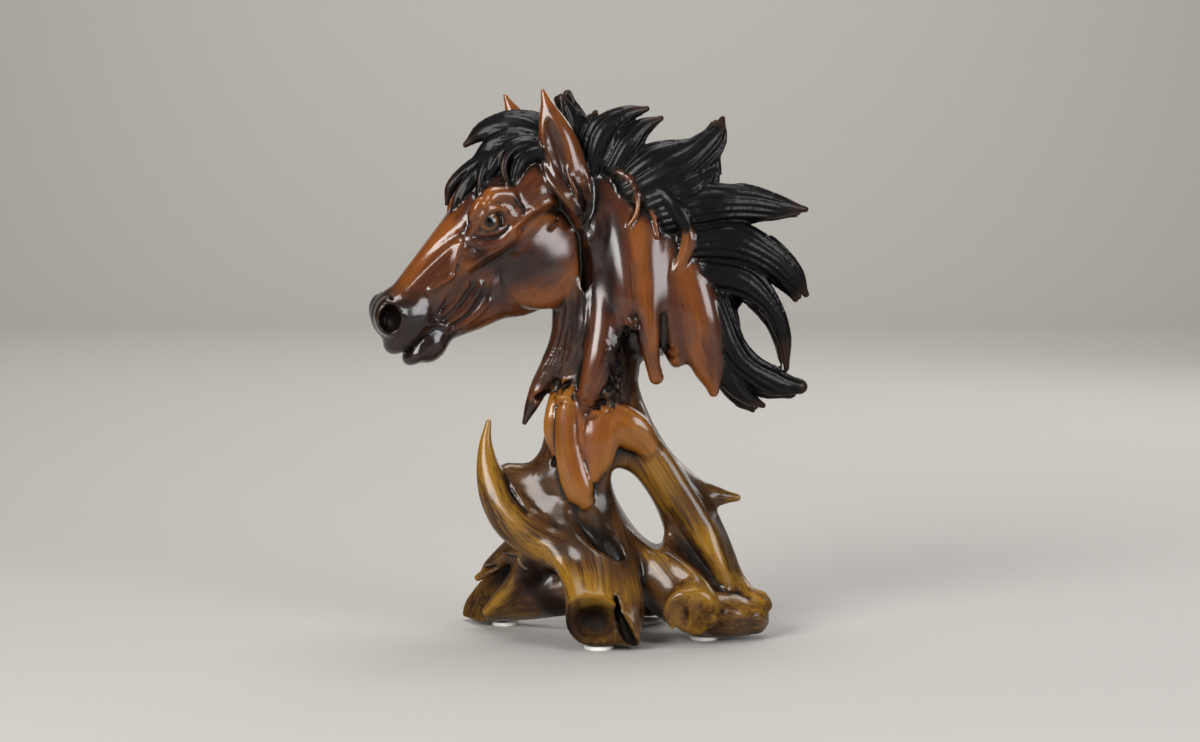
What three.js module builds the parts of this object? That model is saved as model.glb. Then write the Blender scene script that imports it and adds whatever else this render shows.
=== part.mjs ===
// Horse head on a stand of roots: one solid figure, 291 mm high, on four round stick-on pads.
// The figure is modelled like clay. Tapered strokes and beads are added to a block of distance values,
// blended where they meet, and the zero surface of the block is then turned into triangles.
// x runs from the nose to the tips of the mane, y away from the viewer of the horse's left side, z up.

import * as THREE from "three";

// Driving sizes, in millimetres
const figureHeight = 291; // from the table to the tip of the near ear
const padDiameter = 15;
const padThickness = 2;
const padSides = 32;
const glueGap = 0.2; // between a pad and the root above it
const figureTriangles = 9300;

// The figure is drawn at this height, so every place and radius below is a share of figureHeight.
const drawnHeight = 291;
const scale = figureHeight / drawnHeight;
const soleHeight = padThickness + glueGap;
const clayCell = figureHeight / 150;

const at = (x, y, z) => new THREE.Vector3(x, y, z).multiplyScalar(scale);
const clamp = THREE.MathUtils.clamp;

// The head has a frame of its own: u from the poll to the nose, v towards the forehead,
// w towards the left cheek. It is pitched down and turned a little to its left.
const headPitch = THREE.MathUtils.degToRad(43.8);
const headTurn = THREE.MathUtils.degToRad(22);
const headOrigin = at(-15, 0, 252);
const alongHead = new THREE.Vector3(
  -Math.cos(headPitch) * Math.cos(headTurn),
  -Math.cos(headPitch) * Math.sin(headTurn),
  -Math.sin(headPitch),
);
const upHead = new THREE.Vector3(
  -Math.sin(headPitch) * Math.cos(headTurn),
  -Math.sin(headPitch) * Math.sin(headTurn),
  Math.cos(headPitch),
);
const leftOfHead = new THREE.Vector3(Math.sin(headTurn), -Math.cos(headTurn), 0);
const headSize = 0.98; // of the head against the rest of the drawing
const headUnit = headSize * scale;

function onHead(u, v, w) {
  return headOrigin
    .clone()
    .addScaledVector(alongHead, u * headUnit)
    .addScaledVector(upHead, v * headUnit)
    .addScaledVector(leftOfHead, w * headUnit);
}

// A value between the entries of a list, for t from 0 to 1, eased so that no step shows.
function between(values, t) {
  const place = clamp(t, 0, 1) * (values.length - 1);
  const i = Math.min(Math.floor(place), values.length - 2);
  const before = values[Math.max(i - 1, 0)];
  const after = values[Math.min(i + 2, values.length - 1)];
  const f = place - i;
  const slopeIn = (values[i + 1] - before) / 2;
  const slopeOut = (after - values[i]) / 2;
  const rise = values[i + 1] - values[i];
  return (
    values[i] +
    f * (slopeIn + f * (3 * rise - 2 * slopeIn - slopeOut + f * (slopeIn + slopeOut - 2 * rise)))
  );
}

// A stroke of clay: an oval section carried along a smooth curve. wide is its half width across the
// curve, thick its half thickness towards face, each a list spread evenly over the curve. Grooves
// run along it between that many ridges.
function stroke(points, wide, thick, face = new THREE.Vector3(0, -1, 0), ridges = 0, groove = 0.9) {
  const count = 4 * (points.length - 1) + 1;
  const curve = new THREE.CatmullRomCurve3(points, false, "centripetal");
  const stations = Array.from({ length: count }, (_, i) => {
    const t = i / (count - 1);
    const along = curve.getTangent(t);
    const out = face.clone().addScaledVector(along, -face.dot(along)).normalize();
    return {
      centre: curve.getPoint(t),
      along,
      out,
      side: new THREE.Vector3().crossVectors(along, out),
      wide: Math.max(between(wide, t), 0.6) * scale,
      thick: Math.max(between(thick, t), 0.6) * scale,
    };
  });
  const box = new THREE.Box3();
  for (const s of stations)
    box.union(
      new THREE.Box3().setFromCenterAndSize(
        s.centre,
        new THREE.Vector3().setScalar(2 * Math.max(s.wide, s.thick)),
      ),
    );
  const leg = new THREE.Vector3();
  const off = new THREE.Vector3();
  function distance(p) {
    let best = Infinity;
    let from = 0;
    let share = 0;
    for (let i = 0; i < count - 1; i++) {
      leg.subVectors(stations[i + 1].centre, stations[i].centre);
      off.subVectors(p, stations[i].centre);
      const f = clamp(off.dot(leg) / leg.lengthSq(), 0, 1);
      const d = off.addScaledVector(leg, -f).lengthSq();
      if (d < best) [best, from, share] = [d, i, f];
    }
    const a = stations[from];
    const b = stations[from + 1];
    const mix = (key) => a[key] + (b[key] - a[key]) * share;
    off.subVectors(p, a.centre).addScaledVector(leg.subVectors(b.centre, a.centre), -share);
    const ended = (from === 0 && share === 0) || (from === count - 2 && share === 1);
    const towards = (axis) => off.dot(a[axis]) * (1 - share) + off.dot(b[axis]) * share;
    const side = towards("side");
    const half = mix("wide");
    const carved = ridges
      ? groove * scale * clamp(half / (5 * scale), 0, 1) * Math.sin((ridges * Math.PI * side) / (2 * half)) ** 2
      : 0;
    return (
      carved +
      ovalDistance(
        side,
        towards("out"),
        ended ? towards("along") : 0,
        half,
        mix("thick"),
        Math.min(half, mix("thick")),
      )
    );
  }
  return { box, distance };
}

// About how far a point lies outside an ellipsoid with these half axes.
function ovalDistance(x, y, z, a, b, c) {
  const outward = Math.hypot(x / a, y / b, z / c);
  const slope = Math.hypot(x / (a * a), y / (b * b), z / (c * c));
  return slope < 1e-6 ? -Math.min(a, b, c) : (outward * (outward - 1)) / slope;
}

// A bead of clay: an ellipsoid with half axes along three directions at right angles.
function bead(centre, halves, axes = [alongHead, upHead, leftOfHead]) {
  const [a, b, c] = halves.map((h) => h * scale);
  const off = new THREE.Vector3();
  const box = new THREE.Box3().setFromCenterAndSize(
    centre,
    new THREE.Vector3().setScalar(2 * Math.max(a, b, c)),
  );
  function distance(p) {
    off.subVectors(p, centre);
    return ovalDistance(off.dot(axes[0]), off.dot(axes[1]), off.dot(axes[2]), a, b, c);
  }
  return { box, distance };
}

// The head's axes turned about the one across it, for features that lean in the side view.
function headAxes(leanDegrees) {
  const lean = THREE.MathUtils.degToRad(leanDegrees);
  return [
    alongHead.clone().multiplyScalar(Math.cos(lean)).addScaledVector(upHead, Math.sin(lean)),
    upHead.clone().multiplyScalar(Math.cos(lean)).addScaledVector(alongHead, -Math.sin(lean)),
    leftOfHead,
  ];
}

// The block of clay: a grid of distances to the surface, negative inside.
class Clay {
  constructor(low, high, cell) {
    this.cell = cell;
    this.low = low;
    this.size = high
      .clone()
      .sub(low)
      .divideScalar(cell)
      .toArray()
      .map((n) => Math.ceil(n) + 1);
    this.values = new Float32Array(this.size[0] * this.size[1] * this.size[2]).fill(1e3);
  }

  index(i, j, k) {
    return i + this.size[0] * (j + this.size[1] * k);
  }

  // Calls change(value, point) at each grid point within reach of a box, and keeps what it returns.
  each(box, reach, change) {
    const first = box.min.clone().subScalar(reach).sub(this.low).divideScalar(this.cell).toArray();
    const last = box.max.clone().addScalar(reach).sub(this.low).divideScalar(this.cell).toArray();
    const from = first.map((n) => Math.max(Math.floor(n), 0));
    const to = last.map((n, axis) => Math.min(Math.ceil(n), this.size[axis] - 1));
    const p = new THREE.Vector3();
    for (let k = from[2]; k <= to[2]; k++)
      for (let j = from[1]; j <= to[1]; j++)
        for (let i = from[0]; i <= to[0]; i++) {
          const n = this.index(i, j, k);
          p.set(i, j, k).multiplyScalar(this.cell).add(this.low);
          this.values[n] = change(this.values[n], p);
        }
  }

  add(shape, blend = 2) {
    this.each(shape.box, blend + 3 * this.cell, (value, p) =>
      smoothMin(value, shape.distance(p), blend * scale),
    );
  }

  cut(shape, blend = 1) {
    this.each(shape.box, blend + 3 * this.cell, (value, p) =>
      -smoothMin(-value, shape.distance(p), blend * scale),
    );
  }
}

function smoothMin(a, b, blend) {
  const h = Math.max(blend - Math.abs(a - b), 0) / blend;
  return Math.min(a, b) - (h * h * blend) / 4;
}

// Lays strokes given in drawn millimetres, each [points, wide, thick, options]. A mirrored stroke is
// laid again on the far side of the plane y = 2.
function lay(clay, strokes) {
  for (const [points, wide, thick, { blend = 2, ridges = 0, groove, face, mirrored = false } = {}] of strokes)
    for (const side of mirrored ? [1, -1] : [1]) {
      const placed = points.map(([x, y, z]) => at(x, side > 0 ? y : 4 - y, z));
      clay.add(stroke(placed, wide, thick, face, ridges, groove), blend);
    }
}

const upright = [new THREE.Vector3(1, 0, 0), new THREE.Vector3(0, 1, 0), new THREE.Vector3(0, 0, 1)];

// Everything beyond a sawn face, as a shape to cut away.
function beyond(point, direction, reach = 26) {
  const normal = new THREE.Vector3(...direction).normalize();
  const box = new THREE.Box3().setFromCenterAndSize(point, new THREE.Vector3().setScalar(2 * reach * scale));
  return { box, distance: (p) => normal.dot(point) - normal.dot(p) };
}

function addStand(clay) {
  lay(clay, [
    // front root, with a slab beside it
    [[[0, -2, 74], [0, -14, 50], [4, -30, 31], [4, -46, 17], [3, -62, 15]], [16, 16, 16, 16, 15], [14, 15, 15, 14, 13], { blend: 8 }],
    [[[12, -14, 56], [21, -30, 32], [25, -42, 18], [25.5, -45, 7]], [8, 7, 6.5, 6.5], [9, 9, 8, 7.5], { blend: 3 }],
    // left root, and the wall of wood that carries it along the table
    [[[-18, 2, 57], [-33, 12, 39], [-47, 24, 21], [-70, 36, 11]], [14, 14, 14, 12], [14, 14, 14, 12], { blend: 8 }],
    [[[6, 6, 26], [-16, 12, 22], [-36, 22, 17], [-58, 32, 14]], [14, 14, 13, 12], [15, 14, 13, 12], { blend: 6 }],
    // right-front root with its ring knot
    [[[26, -2, 50], [38, -12, 35], [50, -22, 22], [55, -36, 19]], [14, 15, 14, 13], [14, 14, 14, 13], { blend: 8 }],
    [[[34, -4, 30], [48, -10, 20], [64, -16, 13], [74, -18, 12]], [12, 13, 12, 9], [12, 13, 12, 10], { blend: 5 }],
    // right root in two lobes
    [[[60, 0, 42], [73, -2, 27], [82, -6, 20], [90, -8, 17.5]], [15, 11, 8, 6.6], [14, 12, 9, 7.5], { blend: 6 }],
    [[[54, -8, 17], [70, -12, 12], [82, -12, 9.5], [88, -12, 9]], [12, 9.5, 8, 6], [12, 10, 8, 6], { blend: 2 }],
    // back root
    [[[8, 6, 62], [18, 20, 38], [30, 38, 18], [38, 56, 13]], [15, 15, 14, 12], [15, 15, 14, 12], { blend: 8 }],
    // trunk
    [[[10, 2, 176], [6, 1, 150], [2, 0, 128], [2, 0, 112], [-2, -1, 92], [-6, -2, 74]], [18, 21, 23, 25, 25, 22], [15, 17, 18, 18, 17, 17], { blend: 5 }],
    // leg to the right of the hole, strut to its left
    [[[17, 1, 122], [31, 2, 94], [45, 3, 74], [55, 3, 57], [60, 2, 40], [63, -2, 24]], [11, 12.5, 14, 15.5, 16, 14], [14, 14, 15, 16, 17, 16], { blend: 5 }],
    [[[-2, 2, 86], [4, 1, 66], [16, 0, 50], [32, -2, 38], [46, -6, 26]], [13, 12, 11, 13, 14], [13, 13, 13, 14, 14], { blend: 6 }],
    // spike behind the leg
    [[[42, 4, 85], [57, 5, 77], [68, 5, 74], [79, 5, 73.2]], [7, 6.5, 5.2, 2], [8, 6, 4.5, 2], { blend: 5 }],
    // web between the horn and the trunk, and the horn as a band that runs on into the front root
    [[[-44, -2, 82], [-30, -2, 80], [-14, -2, 84]], [11, 14, 16], [8, 11, 14], { blend: 6 }],
    [[[-40, -4, 68], [-24, -6, 62], [-6, -6, 58]], [14, 16, 18], [10, 14, 16], { blend: 6 }],
    [
      [[-54, -4, 115], [-55.5, -6, 104], [-54, -9, 90], [-49, -13, 76], [-40, -16, 63], [-26, -18, 53], [-8, -20, 46]],
      [1.6, 3.4, 6.5, 9.5, 11, 11, 12],
      [1.8, 3, 5, 7, 8.5, 10, 12],
      { blend: 2.5 },
    ],
  ]);
  clay.cut(bead(at(25, 0, 69.5), [8.2, 80, 24], headAxesOf(29.7)), 4);
  clay.cut(beyond(at(3, -54, 15), [-0.08, -0.97, -0.06]), 3);
  clay.cut(beyond(at(-59, 29, 12), [-0.82, -0.42, 0.4]), 2);
  clay.cut(beyond(at(55, -35, 17), [0.1, -0.96, -0.1], 17), 2);
  clay.cut(beyond(at(34, 47, 14), [0.35, 0.94, 0.1]), 2);
  // hollow end of the front root, the slit beside it, the ring knot
  clay.cut(bead(at(2, -57, 15), [12.5, 7, 10], upright), 1.5);
  clay.cut(stroke([at(14, -41, 36), at(17, -49, 22), at(18.6, -55, 6)], [1, 2, 2.4], [8, 9, 9]), 1);
  clay.cut(bead(at(49.5, -37.5, 17), [7.8, 4, 7.8], upright), 1);
  clay.add(bead(at(49.5, -34.2, 17), [5, 3, 5], upright), 0.8);
  // crease along the horn band, groove between the body and the strut
  clay.cut(stroke([at(-45, -14, 88), at(-41, -18, 78), at(-33, -24, 68)], [0.6, 1.6, 0.6], [5, 6, 5]), 2);
  clay.cut(stroke([at(-4, -22, 66), at(8, -22, 52), at(20, -24, 36)], [1, 2.2, 1], [7, 7, 7]), 3);
}

// The axes of an oval whose long one leans from upright by some degrees in the front view.
function headAxesOf(leanDegrees) {
  const lean = THREE.MathUtils.degToRad(leanDegrees);
  return [
    new THREE.Vector3(Math.cos(lean), 0, Math.sin(lean)),
    new THREE.Vector3(0, 1, 0),
    new THREE.Vector3(Math.sin(lean), 0, -Math.cos(lean)),
  ];
}

// Tongues of lighter wood that run down over the trunk.
function addTongues(clay) {
  lay(clay, [
    [[[-12, -15, 130], [-14, -17, 110], [-12, -19, 90], [-6, -20, 76], [-3, -20, 71]], [5, 6, 8, 8.5, 5], [4, 4.5, 5, 5, 4], { blend: 1 }],
    [[[8, -15, 124], [6, -18, 106], [3, -19, 92], [3, -18, 86]], [10, 11, 8, 4.5], [5, 5, 4.5, 3.5], { blend: 1 }],
    [[[12, -16, 120], [22, -16, 112], [29, -14, 105], [31, -12, 101]], [9, 9.5, 6.5, 4], [5, 5, 4.5, 4], { blend: 1 }],
    [[[-5, -15, 128], [-5, -18, 112], [-4, -19, 98]], [3, 2.5, 1.5], [4, 4, 3], { blend: 1 }],
  ]);
}

function addNeck(clay) {
  const soft = { blend: 4, mirrored: true };
  lay(clay, [
    [[[-4, 2, 242], [12, 2, 222], [24, 2, 198], [30, 2, 178], [34, 2, 164]], [19, 28, 32, 34, 28], [16, 19, 20, 19, 15], { blend: 4 }],
    // throat, hanging in a long tip and a shorter one
    [[[-8, -2, 190], [-10, -3, 168], [-15, -4, 154], [-21, -5, 143], [-27, -6, 133], [-31.5, -7, 123], [-34.8, -8, 115]], [12, 10.5, 8, 6.5, 5, 3.4, 1.4], [14, 12, 9, 7, 5, 3.6, 1.8], soft],
    [[[-3, -8, 184], [-5, -9, 164], [-9, -10, 150], [-14, -10, 141]], [8, 8, 7, 3], [9, 8, 6, 3], { blend: 2, mirrored: true }],
    // fold in front of the trunk
    [[[4, -12, 210], [7, -17, 190], [9, -19, 170], [6, -20, 152], [1, -20, 136], [-3, -19, 121]], [7, 7, 7.5, 7.5, 6, 2.4], [7, 7, 7, 6, 5, 2.6], { blend: 2.5, mirrored: true }],
    // middle of the neck and the drip that hangs from it
    [[[18, -12, 222], [19, -18, 202], [19, -20, 182], [20, -19, 168]], [9, 9, 9, 6], [7, 7, 6, 3], { blend: 3.5, mirrored: true }],
    [[[26, -13, 204], [28.5, -18, 182], [30.5, -20, 166], [32.8, -19, 152], [35.4, -17, 139.5]], [8, 7, 5, 4.6, 3.4], [7, 7, 5.5, 4.6, 3.4], { blend: 2.2, mirrored: true }],
    // back of the neck, ending in a broad tongue
    [[[38, -8, 206], [41, -12, 184], [43, -13, 166], [45, -11, 152]], [9, 9, 8, 5], [8, 8, 7, 5], { blend: 2.5, mirrored: true }],
    [[[44, -8, 208], [52, -12, 190], [57, -13, 172], [60, -12, 156], [63.5, -9, 142], [65.6, -6, 131.5]], [9, 12, 12.5, 11.5, 8, 3], [8, 9, 9, 8, 6, 3.5], { blend: 2.5, mirrored: true }],
    // loose strands on the neck
    [[[17, -14, 248], [25, -18, 238], [25.5, -20, 229], [20.5, -21, 219]], [3, 2.6, 2.4, 1], [3, 2.8, 2.4, 1], { blend: 1, mirrored: true }],
    [[[44, -12, 230], [53, -15, 216], [50.5, -18, 202], [41.5, -19, 190.5]], [5, 4.2, 3.4, 1.2], [4, 4, 3.4, 1.2], { blend: 1, mirrored: true }],
  ]);
  for (const side of [-1, 1]) {
    const y = (depth) => 2 + side * depth;
    clay.cut(stroke([at(21, y(26), 160), at(19, y(27), 149), at(17, y(27), 137), at(14, y(27), 127)], [4, 7, 9, 9], [10, 12, 11, 8]), 1.5);
    clay.cut(stroke([at(-28, y(14), 128), at(-20, y(19), 133), at(-10, y(21), 138)], [2, 2.5, 1.5], [7, 7, 5]), 1.5);
  }
}

function addMane(clay) {
  lay(clay, [
    [
      [[-6, 2, 254], [14, 2, 249], [36, 2, 237], [54, 2, 218], [66, 2, 196], [72, 2, 174], [74, 2, 154], [79, 1, 138]],
      [9, 12, 14, 15, 13, 9, 8, 8],
      [11, 14, 16, 16, 14, 11, 9, 6],
      { blend: 3 },
    ],
  ]);
  // each lock leaves the crest, bends and ends in a tip; another lies behind it and a third beyond both
  const locks = [
    [[[-10, 6, 254], [-9, 6, 274], [-13, 5, 291.5]], [7, 5.5, 1.4], [6, 4, 1.4], 0],
    [[[-8, 0, 256], [-6, 0, 271], [-8, -1, 280]], [6, 5, 1.6], [6, 4, 1.6], 0],
    [[[-4, -6, 252], [-2, -7, 268], [3, -6, 279]], [6, 5, 1.6], [6, 4, 1.6], 0],
    [[[0, -8, 250], [7, -9, 269], [18, -8, 277.5], [30, -5, 281]], [9, 8.5, 5.5, 1.6], [7, 6, 4, 1.6], 2],
    [[[12, -8, 250], [20, -9, 262], [28, -7, 271], [37.5, -4, 276]], [9, 8.5, 5.5, 1.6], [7, 6, 4, 1.6], 2],
    [[[22, -8, 238], [42, -10, 247], [58, -8, 258], [67, -6, 268], [70.5, -5, 278]], [13, 13, 10, 6.5, 1.5], [10, 9, 7, 5, 1.5], 3],
    [[[34, -9, 232], [54, -11, 240], [68, -8, 250], [72, -6, 262]], [12, 11, 8, 3], [10, 9, 6, 3], 3],
    [[[42, -9, 226], [64, -11, 231], [84, -9, 231], [101, -7, 229.5], [115, -4, 228]], [12, 12, 10.5, 6, 1.6], [11, 10, 7, 4, 1.6], 3],
    [[[56, -9, 212], [78, -11, 211], [96, -9, 202], [108, -6, 192], [114.5, -4, 183]], [12, 12, 10, 6.5, 1.8], [11, 9, 7, 5, 1.8], 3],
    [[[62, -8, 196], [82, -9, 190], [96.5, -7, 175], [103, -5, 160], [104.4, -3, 143.5]], [12, 10, 6.6, 4, 1.6], [10, 7, 5, 4, 1.6], 2],
    [[[68, -8, 178], [74, -9, 158], [83, -8, 145], [97, -6, 137], [112, -4, 134]], [9, 8.5, 9, 8.5, 4.4], [9, 8, 7, 6, 4.4], 2],
    [[[72, -6, 150], [76, -7, 138], [83, -6, 129], [92, -4, 123.8]], [9, 8, 5, 1.6], [8, 6, 4.5, 1.6], 2],
  ];
  for (const [points, wide, thick, ridges] of locks)
    for (const [side, back, down] of [[1, 0, 0], [0, 5, 3], [-1, 3, 2]]) {
      const placed = points.map(([x, y, z], i) => {
        const t = i / (points.length - 1);
        return at(x - back * t, 2 + side * (y - 2) - (side - 1) * t, z - down * t);
      });
      clay.add(stroke(placed, wide, thick, undefined, ridges), 1);
    }
  clay.cut(stroke([at(81, 0, 174), at(87.5, 0, 163), at(95, 0, 152.5), at(101, 0, 144.5)], [2.5, 6.6, 4.6, 1], [40, 40, 40, 40]), 1.5);
}

function addHead(clay) {
  // face from poll to nose, then the jaw under it
  const line = (places) => places.map(([u, v]) => onHead(u, v, 0));
  clay.add(
    stroke(
      line([[4, 2], [25, 4], [50, 5], [70, 5.5], [90, 5.5], [110, 4.5], [122, 4]]),
      [18, 22, 22.5, 19.5, 17, 15.5, 14.5],
      [17, 21, 22, 17.5, 14, 13, 13.5],
      leftOfHead,
    ),
    4,
  );
  clay.add(
    stroke(
      line([[30, -18], [45, -20], [62, -21], [76, -18.5], [92, -15], [107, -12.5], [120, -13]]),
      [22, 25, 25, 20, 16.5, 12, 9],
      [15, 15, 14, 12, 10, 9, 9],
      leftOfHead,
    ),
    5,
  );
  clay.add(bead(onHead(119.5, 4, 0), [14, 14.5, 14.5]), 4);
  clay.add(bead(onHead(127, -4, 0), [11, 8, 12]), 3);
  clay.add(bead(onHead(121, -17, 0), [10.5, 8.5, 9.5]), 4);
  clay.add(bead(onHead(128, -15.5, 0), [8, 4.8, 8.5]), 2);
  for (const side of [1, -1]) {
    clay.add(bead(onHead(45, -22, side * 9), [28, 26.5, 10.5]), 1.2); // cheek
    clay.add(stroke([onHead(38, 15, side * 19), onHead(47, 20, side * 19), onHead(58, 19, side * 19), onHead(68, 12, side * 17)], [4.5, 5, 4.5, 2.5], [4, 5, 4.5, 2.5], leftOfHead), 2.5); // brow
    clay.add(stroke([onHead(60, -2, side * 18), onHead(78, -3, side * 14.5), onHead(96, -4, side * 11.5)], [3.5, 3.2, 2], [4, 3.6, 2.4], leftOfHead), 3); // ridge of the cheekbone
    clay.cut(bead(onHead(55, 10, side * 25), [9, 6.5, 6]), 2); // eye socket
    clay.add(bead(onHead(54.8, 11, side * 16.8), [6.6, 6.6, 6.6]), 0.5); // eyeball
    clay.add(stroke([onHead(46.5, 11, side * 19.5), onHead(50, 15.5, side * 22), onHead(56, 16.5, side * 22), onHead(63, 11, side * 18.5)], [1.6, 2.2, 2.2, 1.2], [2, 2.4, 2.2, 1.2], leftOfHead), 0.8); // upper lid
    clay.add(stroke([onHead(47, 9.5, side * 19.5), onHead(52, 6, side * 21), onHead(58, 6, side * 20.5), onHead(63, 10, side * 18.5)], [1.3, 1.7, 1.7, 1.2], [2, 2, 2, 1.2], leftOfHead), 0.8); // lower lid
    clay.add(bead(onHead(128, 11, side * 9.5), [10, 8, 6], headAxes(134)), 2); // nostril rim
    clay.cut(bead(onHead(130, 11.5, side * 14), [7.4, 5, 7.5], headAxes(134)), 1);
    clay.cut(stroke([onHead(113, -9.5, side * 15), onHead(124, -10.5, side * 14), onHead(134, -10, side * 9), onHead(140, -9.5, 0)], [0.8, 1.4, 1.4, 1.4], [4.5, 4.5, 4.5, 4.5], leftOfHead), 1);
    clay.cut(stroke([onHead(14, -14, side * 22), onHead(17, -34, side * 20), onHead(26, -48, side * 14)], [1.4, 2, 1.4], [6, 6, 4], leftOfHead), 2); // behind the cheek
  }
}

function addEars(clay) {
  const cup = (x, z) => new THREE.Vector3(x, -1, z).normalize();
  clay.add(stroke([at(-6, -17, 232), at(-12, -20, 250), at(-18, -21, 268), at(-24.5, -21, 291)], [8, 10.5, 9, 1.2], [8, 7, 6, 1.2], cup(0.1, 0.1)), 2.5);
  clay.cut(stroke([at(-15, -29, 250), at(-20, -29, 266), at(-24, -27, 281)], [4, 5.5, 1.2], [6.5, 6.5, 3], cup(0.1, 0.1)), 1);
  clay.add(stroke([at(-20, 18, 238), at(-30, 20, 256), at(-38, 21, 272), at(-45.5, 21, 288)], [8, 9, 7.5, 1.2], [8, 7, 5.5, 1.2], cup(0.1, 0.1)), 2.5);
  clay.cut(stroke([at(-32, 28, 252), at(-39, 28, 266), at(-44, 27, 278)], [4, 5, 1.2], [6, 6, 3], cup(0.1, 0.1)), 1);
}

function addForelock(clay) {
  const face = new THREE.Vector3(-0.6, -0.5, 0.6).normalize();
  lay(clay, [
    [[[-14, -2, 250], [-24, -4, 266], [-40, -6, 272], [-56, -7, 269], [-65.5, -8, 262]], [10, 11, 10, 7, 1.6], [10, 10, 8, 5, 1.6], { blend: 1.5, ridges: 4, face }],
    [[[-18, -8, 250], [-34, -11, 263], [-50, -13, 261], [-61, -14, 253]], [8, 9, 6.5, 1.6], [8, 8, 6, 1.6], { blend: 1.2, ridges: 3, face }],
    [[[-22, -10, 246], [-38, -13, 253], [-52, -14, 247], [-63, -15, 238], [-73, -15, 229.5]], [7, 7, 4.6, 2.8, 1.2], [7, 7, 4.6, 2.8, 1.2], { blend: 1.2, ridges: 2, face }],
    [[[-16, -14, 250], [-30, -19, 260], [-43, -21, 257], [-45, -22, 248]], [6, 6, 5, 1.4], [6, 6, 5, 1.4], { blend: 1.2, ridges: 2, face }],
    [[[-16, -16, 248], [-26, -22, 252], [-34, -25, 244], [-34.5, -26, 230]], [5, 5, 3.6, 1.2], [5, 5, 3.6, 1.2], { blend: 1.2, ridges: 2, face }],
    [[[-20, 6, 250], [-34, 6, 262], [-50, 3, 258], [-63, 0, 246], [-72, -3, 235]], [8, 8, 6, 4, 1.4], [8, 8, 6, 4, 1.4], { blend: 1.2, ridges: 2, face }],
    [[[-22, 14, 248], [-36, 15, 257], [-49, 13, 252], [-60, 10, 241]], [7, 7, 5, 1.4], [7, 7, 5, 1.4], { blend: 1.2, ridges: 2, face }],
  ]);
}

// Leaves one solid body: hollows shut inside the clay are filled, and crumbs beside it are dropped.
function oneBody(clay) {
  const [nx, ny] = clay.size;
  const { values } = clay;
  const region = new Int32Array(values.length);
  const members = [0];
  const around = [1, -1, nx, -nx, nx * ny, -nx * ny];
  for (let seed = 0; seed < values.length; seed++) {
    if (region[seed]) continue;
    const inside = values[seed] < 0;
    const label = members.push(1) - 1;
    region[seed] = label;
    for (let queue = [seed]; queue.length; ) {
      const n = queue.pop();
      for (const step of around) {
        const m = n + step;
        if (m < 0 || m >= values.length || region[m] || values[m] < 0 !== inside) continue;
        region[m] = label;
        members[label]++;
        queue.push(m);
      }
    }
  }
  const open = region[0];
  let body = 0;
  for (let n = 0; n < values.length; n++)
    if (values[n] < 0 && members[region[n]] > (members[body] || 0)) body = region[n];
  for (let n = 0; n < values.length; n++) {
    if (values[n] < 0 && region[n] !== body) values[n] = clay.cell;
    else if (values[n] >= 0 && region[n] !== open) values[n] = -clay.cell;
  }
}

// Fills the corners where the clay only touches itself, so that the surface is one closed skin.
function closeCorners(clay) {
  const [nx, ny, nz] = clay.size;
  const steps = [1, nx, nx * ny];
  const inside = (n) => clay.values[n] < 0;
  const fill = (n) => {
    clay.values[n] = -1e-3 * clay.cell;
  };
  for (let changed = true; changed; ) {
    changed = false;
    for (let k = 0; k < nz - 1; k++)
      for (let j = 0; j < ny - 1; j++)
        for (let i = 0; i < nx - 1; i++) {
          const n = clay.index(i, j, k);
          for (const [a, b] of [[0, 1], [1, 2], [0, 2]]) {
            const here = inside(n);
            const right = inside(n + steps[a]);
            const up = inside(n + steps[b]);
            const across = inside(n + steps[a] + steps[b]);
            if (here !== across || right !== up || here === right) continue;
            if (here) fill(n + steps[a]);
            else fill(n);
            changed = true;
          }
          const corners = [0, 1, 2, 3, 4, 5, 6, 7].map((c) =>
            inside(n + (c & 1) * steps[0] + ((c >> 1) & 1) * steps[1] + (c >> 2) * steps[2]),
          );
          const filled = corners.filter(Boolean).length;
          if (filled !== 2 && filled !== 6) continue;
          const odd = filled === 2;
          for (let c = 0; c < 4; c++)
            if (corners[c] === odd && corners[7 - c] === odd) {
              fill(odd ? n + steps[0] * (1 - (c & 1)) + steps[1] * ((c >> 1) & 1) : n + (c & 1) * steps[0] + ((c >> 1) & 1) * steps[1]);
              changed = true;
              break;
            }
        }
  }
}

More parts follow.
